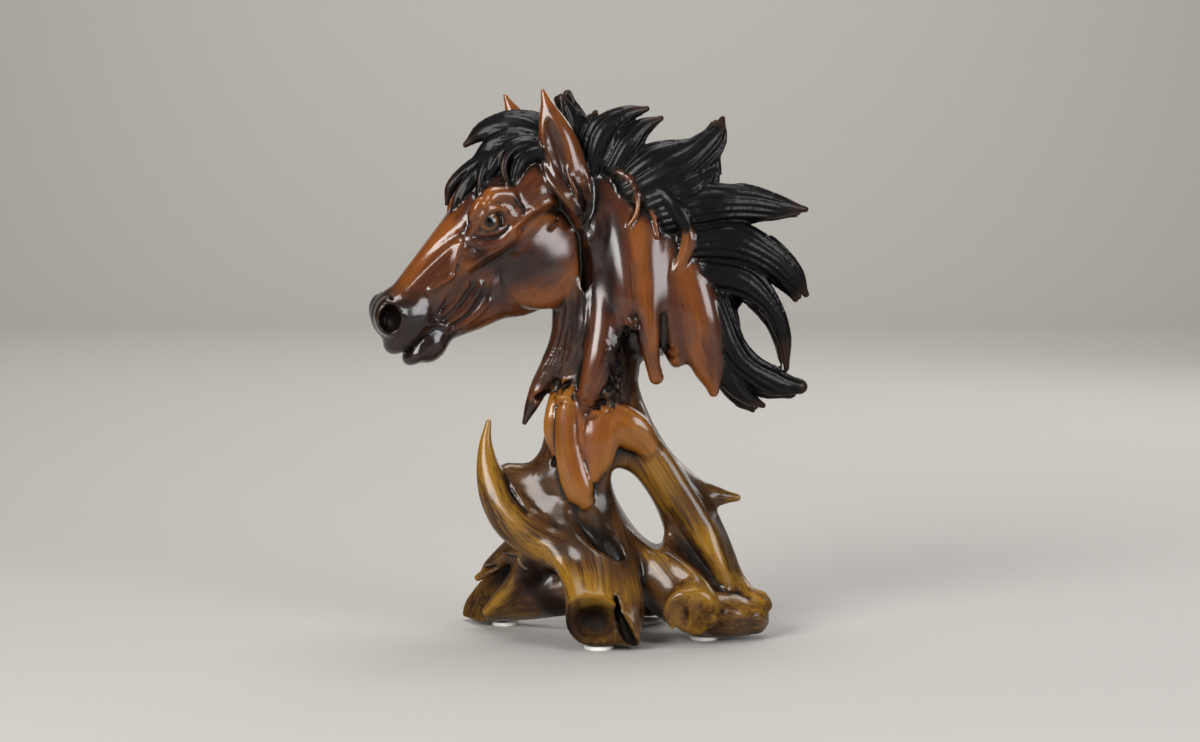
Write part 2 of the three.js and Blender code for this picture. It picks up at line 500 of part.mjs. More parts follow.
// The zero surface of the clay as quads split in two: one vertex in each cell that it crosses.
function skinOf(clay) {
  closeCorners(clay);
  oneBody(clay);
  const [nx, ny, nz] = clay.size;
  const steps = [1, nx, nx * ny];
  const vertexAt = new Map();
  const positions = [];
  const corner = new THREE.Vector3();
  for (let k = 0; k < nz - 1; k++)
    for (let j = 0; j < ny - 1; j++)
      for (let i = 0; i < nx - 1; i++) {
        const n = clay.index(i, j, k);
        const middle = new THREE.Vector3();
        let crossings = 0;
        for (let axis = 0; axis < 3; axis++)
          for (let c = 0; c < 4; c++) {
            const offset = [0, 0, 0];
            offset[(axis + 1) % 3] = c & 1;
            offset[(axis + 2) % 3] = c >> 1;
            const m = n + offset[0] * steps[0] + offset[1] * steps[1] + offset[2] * steps[2];
            const a = clay.values[m];
            const b = clay.values[m + steps[axis]];
            if (a < 0 === b < 0) continue;
            offset[axis] = a / (a - b);
            middle.add(corner.fromArray(offset));
            crossings++;
          }
        if (!crossings) continue;
        middle.divideScalar(crossings).add(corner.set(i, j, k)).multiplyScalar(clay.cell).add(clay.low);
        vertexAt.set(n, positions.length / 3);
        positions.push(middle.x, middle.y, middle.z);
      }
  const faces = [];
  for (let k = 1; k < nz - 1; k++)
    for (let j = 1; j < ny - 1; j++)
      for (let i = 1; i < nx - 1; i++) {
        const n = clay.index(i, j, k);
        for (let axis = 0; axis < 3; axis++) {
          const isIn = clay.values[n] < 0;
          if (isIn === clay.values[n + steps[axis]] < 0) continue;
          const b = steps[(axis + 1) % 3];
          const c = steps[(axis + 2) % 3];
          const quad = [n, n - b, n - b - c, n - c].map((m) => vertexAt.get(m));
          if (!isIn) quad.reverse();
          faces.push([quad[0], quad[1], quad[2]], [quad[0], quad[2], quad[3]]);
        }
      }
  return { positions, faces };
}

// Thins a closed skin to so many triangles by folding short edges together, cheapest first. A fold
// costs the area-weighted squared distance of its vertex from the planes of the triangles around it.
function thin({ positions, faces }, wanted) {
  const count = positions.length / 3;
  const spot = (v) => new THREE.Vector3(positions[3 * v], positions[3 * v + 1], positions[3 * v + 2]);
  const around = Array.from({ length: count }, () => new Set());
  const planes = new Float64Array(10 * count);
  const alive = faces.map(() => true);
  const [ab, ac, normal] = [new THREE.Vector3(), new THREE.Vector3(), new THREE.Vector3()];
  faces.forEach((face, f) => {
    const a = spot(face[0]);
    normal.crossVectors(ab.subVectors(spot(face[1]), a), ac.subVectors(spot(face[2]), a));
    const area = normal.length() / 2;
    normal.normalize();
    const plane = [normal.x, normal.y, normal.z, -normal.dot(a)];
    for (const v of face) {
      around[v].add(f);
      let n = 10 * v;
      for (let i = 0; i < 4; i++) for (let j = i; j < 4; j++) planes[n++] += area * plane[i] * plane[j];
    }
  });
  const sum = new Float64Array(10);
  const costAt = (p) =>
    p.x * (sum[0] * p.x + 2 * (sum[1] * p.y + sum[2] * p.z + sum[3])) +
    p.y * (sum[4] * p.y + 2 * (sum[5] * p.z + sum[6])) +
    p.z * (sum[7] * p.z + 2 * sum[8]) +
    sum[9];
  // the cheapest place for the vertex that an edge folds into, and its cost
  function fold(a, b) {
    for (let i = 0; i < 10; i++) sum[i] = planes[10 * a + i] + planes[10 * b + i];
    const [from, to] = [spot(a), spot(b)];
    const places = [from, to, from.clone().add(to).multiplyScalar(0.5)];
    const m = new THREE.Matrix3().set(sum[0], sum[1], sum[2], sum[1], sum[4], sum[5], sum[2], sum[5], sum[7]);
    if (Math.abs(m.determinant()) > 1e-6 * (sum[0] + sum[4] + sum[7]) ** 3) {
      const best = new THREE.Vector3(-sum[3], -sum[6], -sum[8]).applyMatrix3(m.invert());
      if (best.distanceTo(places[2]) < 2 * from.distanceTo(to)) places.push(best);
    }
    const costs = places.map((p) => Math.max(costAt(p), 0));
    const least = costs.indexOf(Math.min(...costs));
    return { a, b, place: places[least], cost: costs[least] + 1e-5 * from.distanceToSquared(to) };
  }
  const version = new Uint32Array(count);
  const heap = [];
  function push(entry) {
    entry.stamps = [version[entry.a], version[entry.b]];
    let i = heap.push(entry) - 1;
    while (i && heap[(i - 1) >> 1].cost > entry.cost) {
      heap[i] = heap[(i - 1) >> 1];
      i = (i - 1) >> 1;
    }
    heap[i] = entry;
  }
  function pop() {
    const top = heap[0];
    const last = heap.pop();
    if (!heap.length) return top;
    let i = 0;
    for (let child; (child = 2 * i + 1) < heap.length; i = child) {
      if (child + 1 < heap.length && heap[child + 1].cost < heap[child].cost) child++;
      if (heap[child].cost >= last.cost) break;
      heap[i] = heap[child];
    }
    heap[i] = last;
    return top;
  }
  const neighbours = (v) => {
    const found = new Set();
    for (const f of around[v]) for (const w of faces[f]) if (w !== v) found.add(w);
    return found;
  };
  // whether the triangles around v still face the same way and are not slivers with v at place
  function keepsShape(v, other, place) {
    for (const f of around[v]) {
      const face = faces[f];
      if (face.includes(other)) continue;
      const before = face.map(spot);
      const after = face.map((w, i) => (w === v ? place : before[i]));
      ab.subVectors(before[1], before[0]).cross(ac.subVectors(before[2], before[0]));
      normal.copy(ab).normalize();
      ab.subVectors(after[1], after[0]);
      const sides = ab.lengthSq() + after[2].distanceToSquared(after[1]);
      ab.cross(ac.subVectors(after[2], after[0]));
      const twiceArea = ab.length();
      if (normal.dot(ab) < 0.35 * twiceArea) return false;
      if (twiceArea < 0.06 * (sides + ac.lengthSq())) return false;
    }
    return true;
  }
  for (const [a, b, c] of faces) for (const [v, w] of [[a, b], [b, c], [c, a]]) if (v < w) push(fold(v, w));
  let left = faces.length;
  while (left > wanted && heap.length) {
    const { a, b, place, stamps } = pop();
    if (stamps[0] !== version[a] || stamps[1] !== version[b]) continue;
    const ring = neighbours(a);
    const shared = [...neighbours(b)].filter((v) => ring.has(v));
    if (shared.length !== 2 || !keepsShape(a, b, place) || !keepsShape(b, a, place)) continue;
    for (const f of [...around[b]]) {
      if (faces[f].includes(a)) {
        for (const v of faces[f]) around[v].delete(f);
        alive[f] = false;
        left--;
      } else {
        faces[f][faces[f].indexOf(b)] = a;
        around[a].add(f);
      }
    }
    around[b].clear();
    version[b]++;
    version[a]++;
    positions[3 * a] = place.x;
    positions[3 * a + 1] = place.y;
    positions[3 * a + 2] = place.z;
    for (let i = 0; i < 10; i++) planes[10 * a + i] += planes[10 * b + i];
    for (const v of neighbours(a)) push(fold(a, v));
  }
  return faces.filter((_, f) => alive[f]);
}

// The whole figure, laid in the order in which the forms overlap, its sole cut flat for the pads.
function figureSkin() {
  const clay = new Clay(at(-128, -72, -8), at(128, 66, 304), clayCell);
  addStand(clay);
  addTongues(clay);
  addNeck(clay);
  addMane(clay);
  addHead(clay);
  addEars(clay);
  addForelock(clay);
  const floor = new THREE.Box3(at(-128, -72, -8), at(128, 66, 4));
  clay.cut({ box: floor, distance: (p) => p.z - soleHeight }, 0.01);
  const skin = skinOf(clay);
  return { positions: skin.positions, faces: thin(skin, figureTriangles) };
}

const { positions, faces } = figureSkin();
const figureGeometry = new THREE.BufferGeometry();
figureGeometry.setAttribute("position", new THREE.Float32BufferAttribute(positions, 3));
figureGeometry.setIndex(faces.flat());
const figure = new THREE.Mesh(
  figureGeometry.toNonIndexed(),
  new THREE.MeshStandardMaterial({ color: 0x6b2f14, roughness: 0.3 }),
);
figure.name = "figure_horse_head";

const part = new THREE.Group();
part.name = "horse_head_figure";
part.add(figure);
for (const [place, x, y] of [["front", 4, -42], ["left", -47, 30], ["right", 60, -14], ["back", 31, 36]]) {
  const disc = new THREE.CylinderGeometry(padDiameter / 2, padDiameter / 2, padThickness, padSides);
  disc.rotateX(Math.PI / 2).translate(x * scale, y * scale, padThickness / 2);
  const pad = new THREE.Mesh(disc, new THREE.MeshStandardMaterial({ color: 0xeceae4, roughness: 0.6 }));
  pad.name = `pad_${place}`;
  part.add(pad);
}

// The origin is the middle of the underside of the whole part.
figure.geometry.computeVertexNormals();
const whole = new THREE.Box3().setFromObject(part);
const middle = whole.getCenter(new THREE.Vector3());
for (const mesh of part.children) mesh.geometry.translate(-middle.x, -middle.y, 0);

export default part;
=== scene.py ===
# Looks of the horse head figure on its root stand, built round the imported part.
# The figure is modelled as in the part: strokes and beads of clay are blended in a block of distance
# values, and the zero surface of the block becomes the mesh. Here the block is finer.

import bpy
import numpy as np
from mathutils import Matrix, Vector


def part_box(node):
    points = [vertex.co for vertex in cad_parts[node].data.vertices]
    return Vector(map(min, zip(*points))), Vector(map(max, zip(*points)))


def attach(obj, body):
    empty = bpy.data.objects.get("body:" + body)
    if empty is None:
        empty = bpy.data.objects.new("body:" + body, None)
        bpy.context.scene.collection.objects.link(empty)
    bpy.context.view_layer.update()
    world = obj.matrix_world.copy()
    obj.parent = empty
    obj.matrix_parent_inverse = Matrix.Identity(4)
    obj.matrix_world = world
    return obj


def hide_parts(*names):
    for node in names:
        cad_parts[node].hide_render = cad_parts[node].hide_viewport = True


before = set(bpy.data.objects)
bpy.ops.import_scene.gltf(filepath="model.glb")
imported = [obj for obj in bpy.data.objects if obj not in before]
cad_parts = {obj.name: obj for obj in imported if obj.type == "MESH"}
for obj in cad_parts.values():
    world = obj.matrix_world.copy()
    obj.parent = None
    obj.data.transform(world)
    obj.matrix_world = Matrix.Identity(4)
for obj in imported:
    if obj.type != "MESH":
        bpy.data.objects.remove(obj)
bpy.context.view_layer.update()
print("frame loaded")

# Places and radii are drawn in millimetres: x from the nose to the mane's tips, y away from the viewer
# of the horse's left side, z up from the table. The part's own origin lies at centre.
drawn = {
    "centre": (0.12, -2.13, 0.0),
    "middle": 2,  # y of the plane that the neck's and the mane's forms mirror in
    "cell": 0.85,  # of the block of clay
    "triangles": 196000,  # kept in the figure
    "strandGroove": 1.3,  # depth of the grooves between the strands of a lock
    "barkRoughness": 1.0,  # share of the torn wood's roughness
    "sole": 2.2,  # height of the roots' undersides over the table
    "soleReach": 8,  # height up to which that level cut is worked out
}

# The head's own frame: u from the poll to the nose, v towards the forehead, w towards the left cheek
headPitch, headTurn, headUnit = np.radians(43.8), np.radians(22), 0.98
headOrigin = np.array([-15.0, 0.0, 252.0])
alongHead = -np.array([np.cos(headPitch) * np.cos(headTurn), np.cos(headPitch) * np.sin(headTurn),
    np.sin(headPitch)])
upHead = np.array([-np.sin(headPitch) * np.cos(headTurn), -np.sin(headPitch) * np.sin(headTurn),
    np.cos(headPitch)])
leftOfHead = np.array([np.sin(headTurn), -np.cos(headTurn), 0.0])
headAxes = np.stack([alongHead, upHead, leftOfHead])
upright = np.eye(3)


# a place on the head: its origin + its unit (u along + v up + w left)
def onHead(u, v, w):
    return headOrigin + headUnit * (u * alongHead + v * upHead + w * leftOfHead)


# head axes turned by lean: along' = along cos(lean) + up sin(lean), up' = up cos(lean) - along sin(lean)
def leaning(leanDegrees):
    c, s = np.cos(np.radians(leanDegrees)), np.sin(np.radians(leanDegrees))
    return np.stack([alongHead * c + upHead * s, upHead * c - alongHead * s, leftOfHead])


# values of a list at places t from 0 to 1, on an eased curve through its entries
def between(values, t):
    values = np.asarray(values, float)
    place = np.clip(t, 0, 1) * (len(values) - 1)
    i = np.minimum(place.astype(int), len(values) - 2)
    f = place - i
    before, after = values[np.maximum(i - 1, 0)], values[np.minimum(i + 2, len(values) - 1)]
    start, end = values[i], values[i + 1]
    slopeIn, slopeOut, rise = (end - before) / 2, (after - start) / 2, end - start
    bend, twist = 3 * rise - 2 * slopeIn - slopeOut, slopeIn + slopeOut - 2 * rise
    return start + f * (slopeIn + f * (bend + f * twist))


# points and unit tangents on a centripetal spline: span time = distance to the power 0.5
def spline(points, perSpan=4):
    p = np.asarray(points, float)
    p = np.vstack([2 * p[0] - p[1], p, 2 * p[-1] - p[-2]])
    times = np.maximum(np.linalg.norm(np.diff(p, axis=0), axis=1) ** 0.5, 1e-3)[:, None]
    places, tangents = [], []
    for i in range(1, len(p) - 2):
        before, span, after = times[i - 1], times[i], times[i + 1]
        rise = p[i + 1] - p[i]
        cutIn = (p[i] - p[i - 1]) / before - (p[i + 1] - p[i - 1]) / (before + span)
        cutOut = (p[i + 2] - p[i]) / (span + after)
        startSlope = span * (cutIn + rise / span)
        endSlope = span * (rise / span - cutOut + (p[i + 2] - p[i + 1]) / after)
        f = (np.arange(perSpan + (i == len(p) - 3)) / perSpan)[:, None]
        bend, twist = 3 * rise - 2 * startSlope - endSlope, startSlope + endSlope - 2 * rise
        places.append(p[i] + f * (startSlope + f * (bend + f * twist)))
        tangents.append(startSlope + f * (2 * bend + 3 * f * twist))
    places, tangents = np.vstack(places), np.vstack(tangents)
    return places, tangents / np.linalg.norm(tangents, axis=1)[:, None]


# distance outside an ellipsoid = k0 (k0 - 1) / k1, with k0 = |p / r| and k1 = |p / r^2|
def ovalDistance(x, y, z, a, b, c):
    outward = np.sqrt((x / a) ** 2 + (y / b) ** 2 + (z / c) ** 2)
    slope = np.sqrt((x / a**2) ** 2 + (y / b**2) ** 2 + (z / c**2) ** 2)
    return outward * (outward - 1) / np.maximum(slope, 1e-6)


randomBlock = np.random.default_rng(7).uniform(-1, 1, (32, 32, 32)).astype(np.float32)


# values at the corners of cell i of a block, blended by the place f in the cell; the block repeats
def blended(block, i, f):
    total = 0
    for corner in range(8):
        step = np.array([corner & 1, corner >> 1 & 1, corner >> 2])
        j = (i + step) % block.shape
        total = total + np.prod(np.where(step, f, 1 - f), axis=1) * block[j[:, 0], j[:, 1], j[:, 2]]
    return total


# values of the random block, blended with eased weights f^2 (3 - 2 f), from -1 to 1
def noise(p, size, seed=0):
    q = p / size + seed * 7.31
    i = np.floor(q).astype(int)
    f = q - i
    return blended(randomBlock, i, f * f * (3 - 2 * f))


# A stroke of clay: an oval section carried along a curve, wide across it and thick towards face.
class Stroke:
    def __init__(self, points, wide, thick, face=(0, -1, 0), ridges=0, groove=0.9, wave=0.0):
        self.centres, self.along = spline(points)
        t = np.linspace(0, 1, len(self.centres))
        self.wide = np.maximum(between(wide, t), 0.6)
        self.thick = np.maximum(between(thick, t), 0.6)
        out = np.asarray(face, float) - (self.along @ np.asarray(face, float))[:, None] * self.along
        self.out = out / np.linalg.norm(out, axis=1)[:, None]
        self.side = np.cross(self.along, self.out)
        self.ridges, self.groove, self.wave = ridges, groove, wave
        self.reach = np.maximum(self.wide, self.thick)
        self.low = (self.centres - self.reach[:, None]).min(axis=0)
        self.high = (self.centres + self.reach[:, None]).max(axis=0)
        steps = np.linalg.norm(np.diff(self.centres, axis=0), axis=1)
        self.run = np.concatenate([[0], np.cumsum(steps)])

    # nearest place on the stroke's line for each grid point, found leg by leg in the leg's own window
    def nearest(self, x, y, z, margin):
        best = np.full((len(x), len(y), len(z)), np.inf, np.float32)
        place = np.zeros_like(best)
        for i in range(len(self.centres) - 1):
            a, b = self.centres[i], self.centres[i + 1]
            r = max(self.reach[i], self.reach[i + 1]) + margin
            low, high = np.minimum(a, b) - r, np.maximum(a, b) + r
            window = tuple(slice(*np.searchsorted(c, [low[n], high[n]])) for n, c in enumerate((x, y, z)))
            px = (x[window[0]] - a[0]).astype(np.float32)[:, None, None]
            py = (y[window[1]] - a[1]).astype(np.float32)[None, :, None]
            pz = (z[window[2]] - a[2]).astype(np.float32)[None, None, :]
            leg = (b - a).astype(np.float32)
            f = np.clip((px * leg[0] + py * leg[1] + pz * leg[2]) / (leg @ leg), 0, 1)
            d = (px - f * leg[0]) ** 2 + (py - f * leg[1]) ** 2 + (pz - f * leg[2]) ** 2
            closer = d < best[window]
            np.copyto(best[window], d, where=closer)
            np.copyto(place[window], f + i, where=closer)
        return best, place

    # the same for loose points
    def nearestTo(self, p):
        best, place = np.full(len(p), np.inf), np.zeros(len(p))
        for i in range(len(self.centres) - 1):
            leg = self.centres[i + 1] - self.centres[i]
            off = p - self.centres[i]
            f = np.clip(off @ leg / (leg @ leg), 0, 1)
            d = ((off - f[:, None] * leg) ** 2).sum(axis=1)
            closer = d < best
            best[closer], place[closer] = d[closer], (i + f)[closer]
        return place

    # place in the stroke's section: millimetres sideways, outwards and past an end; then its half sizes
    # and the run along the stroke
    def section(self, p, place):
        i = np.minimum(place.astype(int), len(self.centres) - 2)
        f = place - i
        mix = lambda rows: rows[i] + (rows[i + 1] - rows[i]) * (f[:, None] if rows.ndim > 1 else f)
        off = p - mix(self.centres)
        towards = lambda axis: (off * mix(axis)).sum(axis=1)
        ended = (place <= 0) | (place >= len(self.centres) - 1)
        past = np.where(ended, towards(self.along), 0)
        return towards(self.side), towards(self.out), past, mix(self.wide), mix(self.thick), mix(self.run)

    # strand phase = pi ridges side / (2 half)
    # + wave (sin(run / 13 + ridges) + sin(run / 6 + 2 side / half) / 2)
    def strands(self, side, half, run):
        sway = np.sin(run / 13 + self.ridges) + 0.5 * np.sin(run / 6 + 2 * side / half)
        return np.pi * self.ridges * side / (2 * half) + self.wave * sway

    # the oval's distance + groove held sin(phase)^2 (0.7 + 0.3 sin(phase / 2 + ridges))
    def distance(self, p, place):
        side, out, past, wide, thick, run = self.section(p, place)
        d = ovalDistance(side, out, past, wide, thick, np.minimum(wide, thick))
        if self.ridges:
            held = np.clip((2 * wide / self.ridges - 1.6) / 1.0, 0, 1)  # fades where ridges get too fine
            phase = self.strands(side, wide, run)
            d = d + self.groove * held * np.sin(phase) ** 2 * (0.7 + 0.3 * np.sin(phase / 2 + self.ridges))
        return d


# A bead of clay: an ellipsoid with half axes along three directions at right angles.
class Bead:
    def __init__(self, centre, halves, axes=headAxes):
        self.centre, self.halves, self.axes = np.asarray(centre, float), halves, np.asarray(axes)
        self.low, self.high = self.centre - max(halves), self.centre + max(halves)

    def distance(self, p, place=None):
        q = (p - self.centre) @ self.axes.T
        return ovalDistance(q[:, 0], q[:, 1], q[:, 2], *self.halves)


# Everything beyond a plane, within reach of a point on it.
class Beyond:
    def __init__(self, point, direction, reach=26):
        self.point = np.asarray(point, float)
        self.normal = np.asarray(direction, float) / np.linalg.norm(direction)
        self.low, self.high = self.point - reach, self.point + reach

    def distance(self, p, place=None):
        return (self.point - p) @ self.normal


# smooth minimum = min(a, b) - h^2 blend / 4, with h = max(blend - |a - b|, 0) / blend
def smoothMin(a, b, blend):
    h = np.maximum(blend - np.abs(a - b), 0) / blend
    return np.minimum(a, b) - h * h * blend / 4


# the grid points that are corner n of a cell, n from 0 to 7
def cellCorner(n):
    return tuple(slice(1, None) if n >> k & 1 else slice(None, -1) for k in range(3))


# squared distance from a line in the plane = least |q - a - f (b - a)|^2 over its legs a to b, f from 0 to 1
def distanceToLine(line, s, t):
    best = np.full(len(s), np.inf)
    for a, b in zip(line[:-1], line[1:]):
        leg = b - a
        f = np.clip(((s - a[0]) * leg[0] + (t - a[1]) * leg[1]) / (leg @ leg), 0, 1)
        best = np.minimum(best, (s - a[0] - f * leg[0]) ** 2 + (t - a[1] - f * leg[1]) ** 2)
    return best


# The block of clay: distances to the surface, negative inside, and which shape is nearest.
class Clay:
    def __init__(self, low, high, cell):
        self.cell = cell
        self.axes = [np.arange(a, b + cell, cell) for a, b in zip(low, high)]
        self.size = tuple(len(a) for a in self.axes)
        self.low = np.array([a[0] for a in self.axes])
        self.field = np.full(self.size, 50, np.float32)
        self.label = np.zeros(self.size, np.int16)
        self.shapes = [None]
        self.kinds = [""]
        self.bark = []  # centres and reaches of torn wood

    # the grid inside a box: its window and its coordinates along each axis
    def inBox(self, low, high):
        window = tuple(slice(*np.searchsorted(axis, [low[n], high[n]])) for n, axis in enumerate(self.axes))
        return window, [axis[w] for axis, w in zip(self.axes, window)]

    # grid points within margin of a shape: window, picks in it, coordinates and places on the shape
    def points(self, shape, margin):
        window, (x, y, z) = self.inBox(shape.low - margin, shape.high + margin)
        if isinstance(shape, Stroke):
            best, place = shape.nearest(x, y, z, margin)
            pick = np.nonzero(best < (shape.reach.max() + margin) ** 2)
            place = place[pick].astype(float)
        else:
            pick = np.nonzero(np.ones((len(x), len(y), len(z)), bool))
            place = None
        return window, pick, np.stack([x[pick[0]], y[pick[1]], z[pick[2]]], axis=1), place

    # sign 1 takes the smooth minimum of field and distance, sign -1 the smooth maximum of field and
    # -distance; a shape with a kind is noted at the points that it is nearest to
    def lay(self, shape, blend, kind, sign):
        window, pick, p, place = self.points(shape, blend + 2.5 * self.cell)
        if not len(p):
            return
        field, label = self.field[window], self.label[window]
        before = sign * field[pick]
        d = shape.distance(p, place)
        field[pick] = sign * smoothMin(before, d, blend)
        if kind:
            self.shapes.append(shape)
            self.kinds.append(kind)
            names = label[pick]
            names[d < before] = len(self.shapes) - 1
            label[pick] = names

    def add(self, shape, blend=2.0, kind="skin"):
        self.lay(shape, blend, kind, 1)

    def cut(self, shape, blend=1.0, kind=""):
        self.lay(shape, blend, kind, -1)

    # picks of the grid near the surface in a box, with their points
    def nearSurface(self, low, high, depth=5):
        window, (x, y, z) = self.inBox(low, high)
        field = self.field[window]
        pick = np.nonzero(np.abs(field) < depth)
        return field, pick, np.stack([x[pick[0]], y[pick[1]], z[pick[2]]], axis=1)

    # raises the surface by height exp(-(d / width)^2) along lines of a chart of it
    def emboss(self, low, high, chart, lines):
        field, pick, p = self.nearSurface(low, high)
        s, t, facing = chart(p)
        raised = np.zeros(len(p))
        for points, width, height in lines:
            raised += height * np.exp(-distanceToLine(spline(points, 3)[0], s, t) / width**2)
        field[pick] -= (raised * facing).astype(np.float32)

    # torn wood: the surface moves by amount (noise(p / size) + noise(2 p / size) / 2) times a nearness,
    # 1.4 - 1.4 |offset / reach| and at most 1; the roughest places are painted as torn wood too
    def roughen(self, centre, reach, amount, size=(3, 3, 3), seed=1):
        centre, reach = np.asarray(centre, float), np.asarray(reach, float)
        if amount > 0.7:
            self.bark.append((centre, reach))
        field, pick, p = self.nearSurface(centre - reach, centre + reach)
        near = np.clip(1.4 - 1.4 * np.sqrt((((p - centre) / reach) ** 2).sum(axis=1)), 0, 1)
        size = np.asarray(size, float)
        bark = noise(p, size, seed) + 0.5 * noise(p, size / 2, seed + 1)
        field[pick] += (drawn["barkRoughness"] * amount * near * bark).astype(np.float32)

    # fills places where the solid only touches itself along an edge or at a corner
    def closeCorners(self):
        inside = self.field < 0
        for _ in range(12):
            filled = 0
            for a, b in ((0, 1), (1, 2), (0, 2)):
                halves = slice(None, -1), slice(1, None)
                cut = lambda i, j: tuple({a: halves[i], b: halves[j]}.get(n, slice(None)) for n in range(3))
                p, q, r, s = (inside[cut(i, j)] for i, j in ((0, 0), (1, 0), (0, 1), (1, 1)))
                one = p & s & ~q & ~r
                two = q & r & ~p & ~s
                filled += int(one.sum() + two.sum())
                inside[cut(1, 0)] |= one
                inside[cut(0, 0)] |= two
            total = sum(inside[cellCorner(n)].astype(np.uint8) for n in range(8))
            for n in range(4):
                p, q = inside[cellCorner(n)], inside[cellCorner(7 - n)]
                alone = p & q & (total == 2)
                gap = ~p & ~q & (total == 6)
                filled += int(alone.sum() + gap.sum())
                inside[cellCorner(n ^ 1)] |= alone
                inside[cellCorner(n)] |= gap
            if not filled:
                break
        self.field[inside & (self.field >= 0)] = -1e-3
        return inside

    # corners and quads of the zero surface: each crossed cell's corner is the mean of its edges' crossings
    def skin(self):
        inside = self.closeCorners()
        nx, ny, nz = self.size
        steps = np.array([ny * nz, nz, 1])
        flat = self.field.ravel()
        total = sum(inside[cellCorner(n)].astype(np.uint8) for n in range(8))
        cells = np.nonzero((total > 0) & (total < 8))
        first = cells[0] * steps[0] + cells[1] * steps[1] + cells[2]
        middle, crossings = np.zeros((len(first), 3)), np.zeros(len(first))
        for axis in range(3):
            for n in range(4):
                offset = np.zeros(3, int)
                offset[(axis + 1) % 3], offset[(axis + 2) % 3] = n & 1, n >> 1
                a = flat[first + offset @ steps]
                b = flat[first + offset @ steps + steps[axis]]
                crossed = (a < 0) != (b < 0)
                place = np.tile(offset.astype(float), (len(first), 1))
                place[:, axis] = a / np.where(crossed, a - b, 1)
                middle[crossed] += place[crossed]
                crossings += crossed
        corners = (np.stack(cells, axis=1) + middle / crossings[:, None]) * self.cell + self.low
        vertexOf = np.full(nx * ny * nz, -1, np.int32)
        vertexOf[first] = np.arange(len(first))
        quads = []
        for axis in range(3):
            head = tuple(slice(None, -1) if n == axis else slice(None) for n in range(3))
            tail = tuple(slice(1, None) if n == axis else slice(None) for n in range(3))
            crossed = np.nonzero(inside[head] != inside[tail])
            n = crossed[0] * steps[0] + crossed[1] * steps[1] + crossed[2]
            b, c = steps[(axis + 1) % 3], steps[(axis + 2) % 3]
            quad = np.stack([n, n - b, n - b - c, n - c], axis=1)
            isIn = flat[n] < 0
            quad[~isIn] = quad[~isIn][:, ::-1]
            quads.append(vertexOf[quad])
        return corners, np.vstack(quads)


bothSides = (1, -1)


# lays strokes given as (points, wide, thick, options); a mirrored one is laid again beyond the middle plane
def layStrokes(clay, strokes, kind):
    for points, wide, thick, *options in strokes:
        options = dict(options[0]) if options else {}
        blend, mirrored = options.pop("blend", 2), options.pop("mirrored", False)
        part = options.pop("kind", kind)
        for side in bothSides if mirrored else (1,):
            placed = [(x, y if side > 0 else 2 * drawn["middle"] - y, z) for x, y, z in points]
            clay.add(Stroke(placed, wide, thick, **options), blend, part)


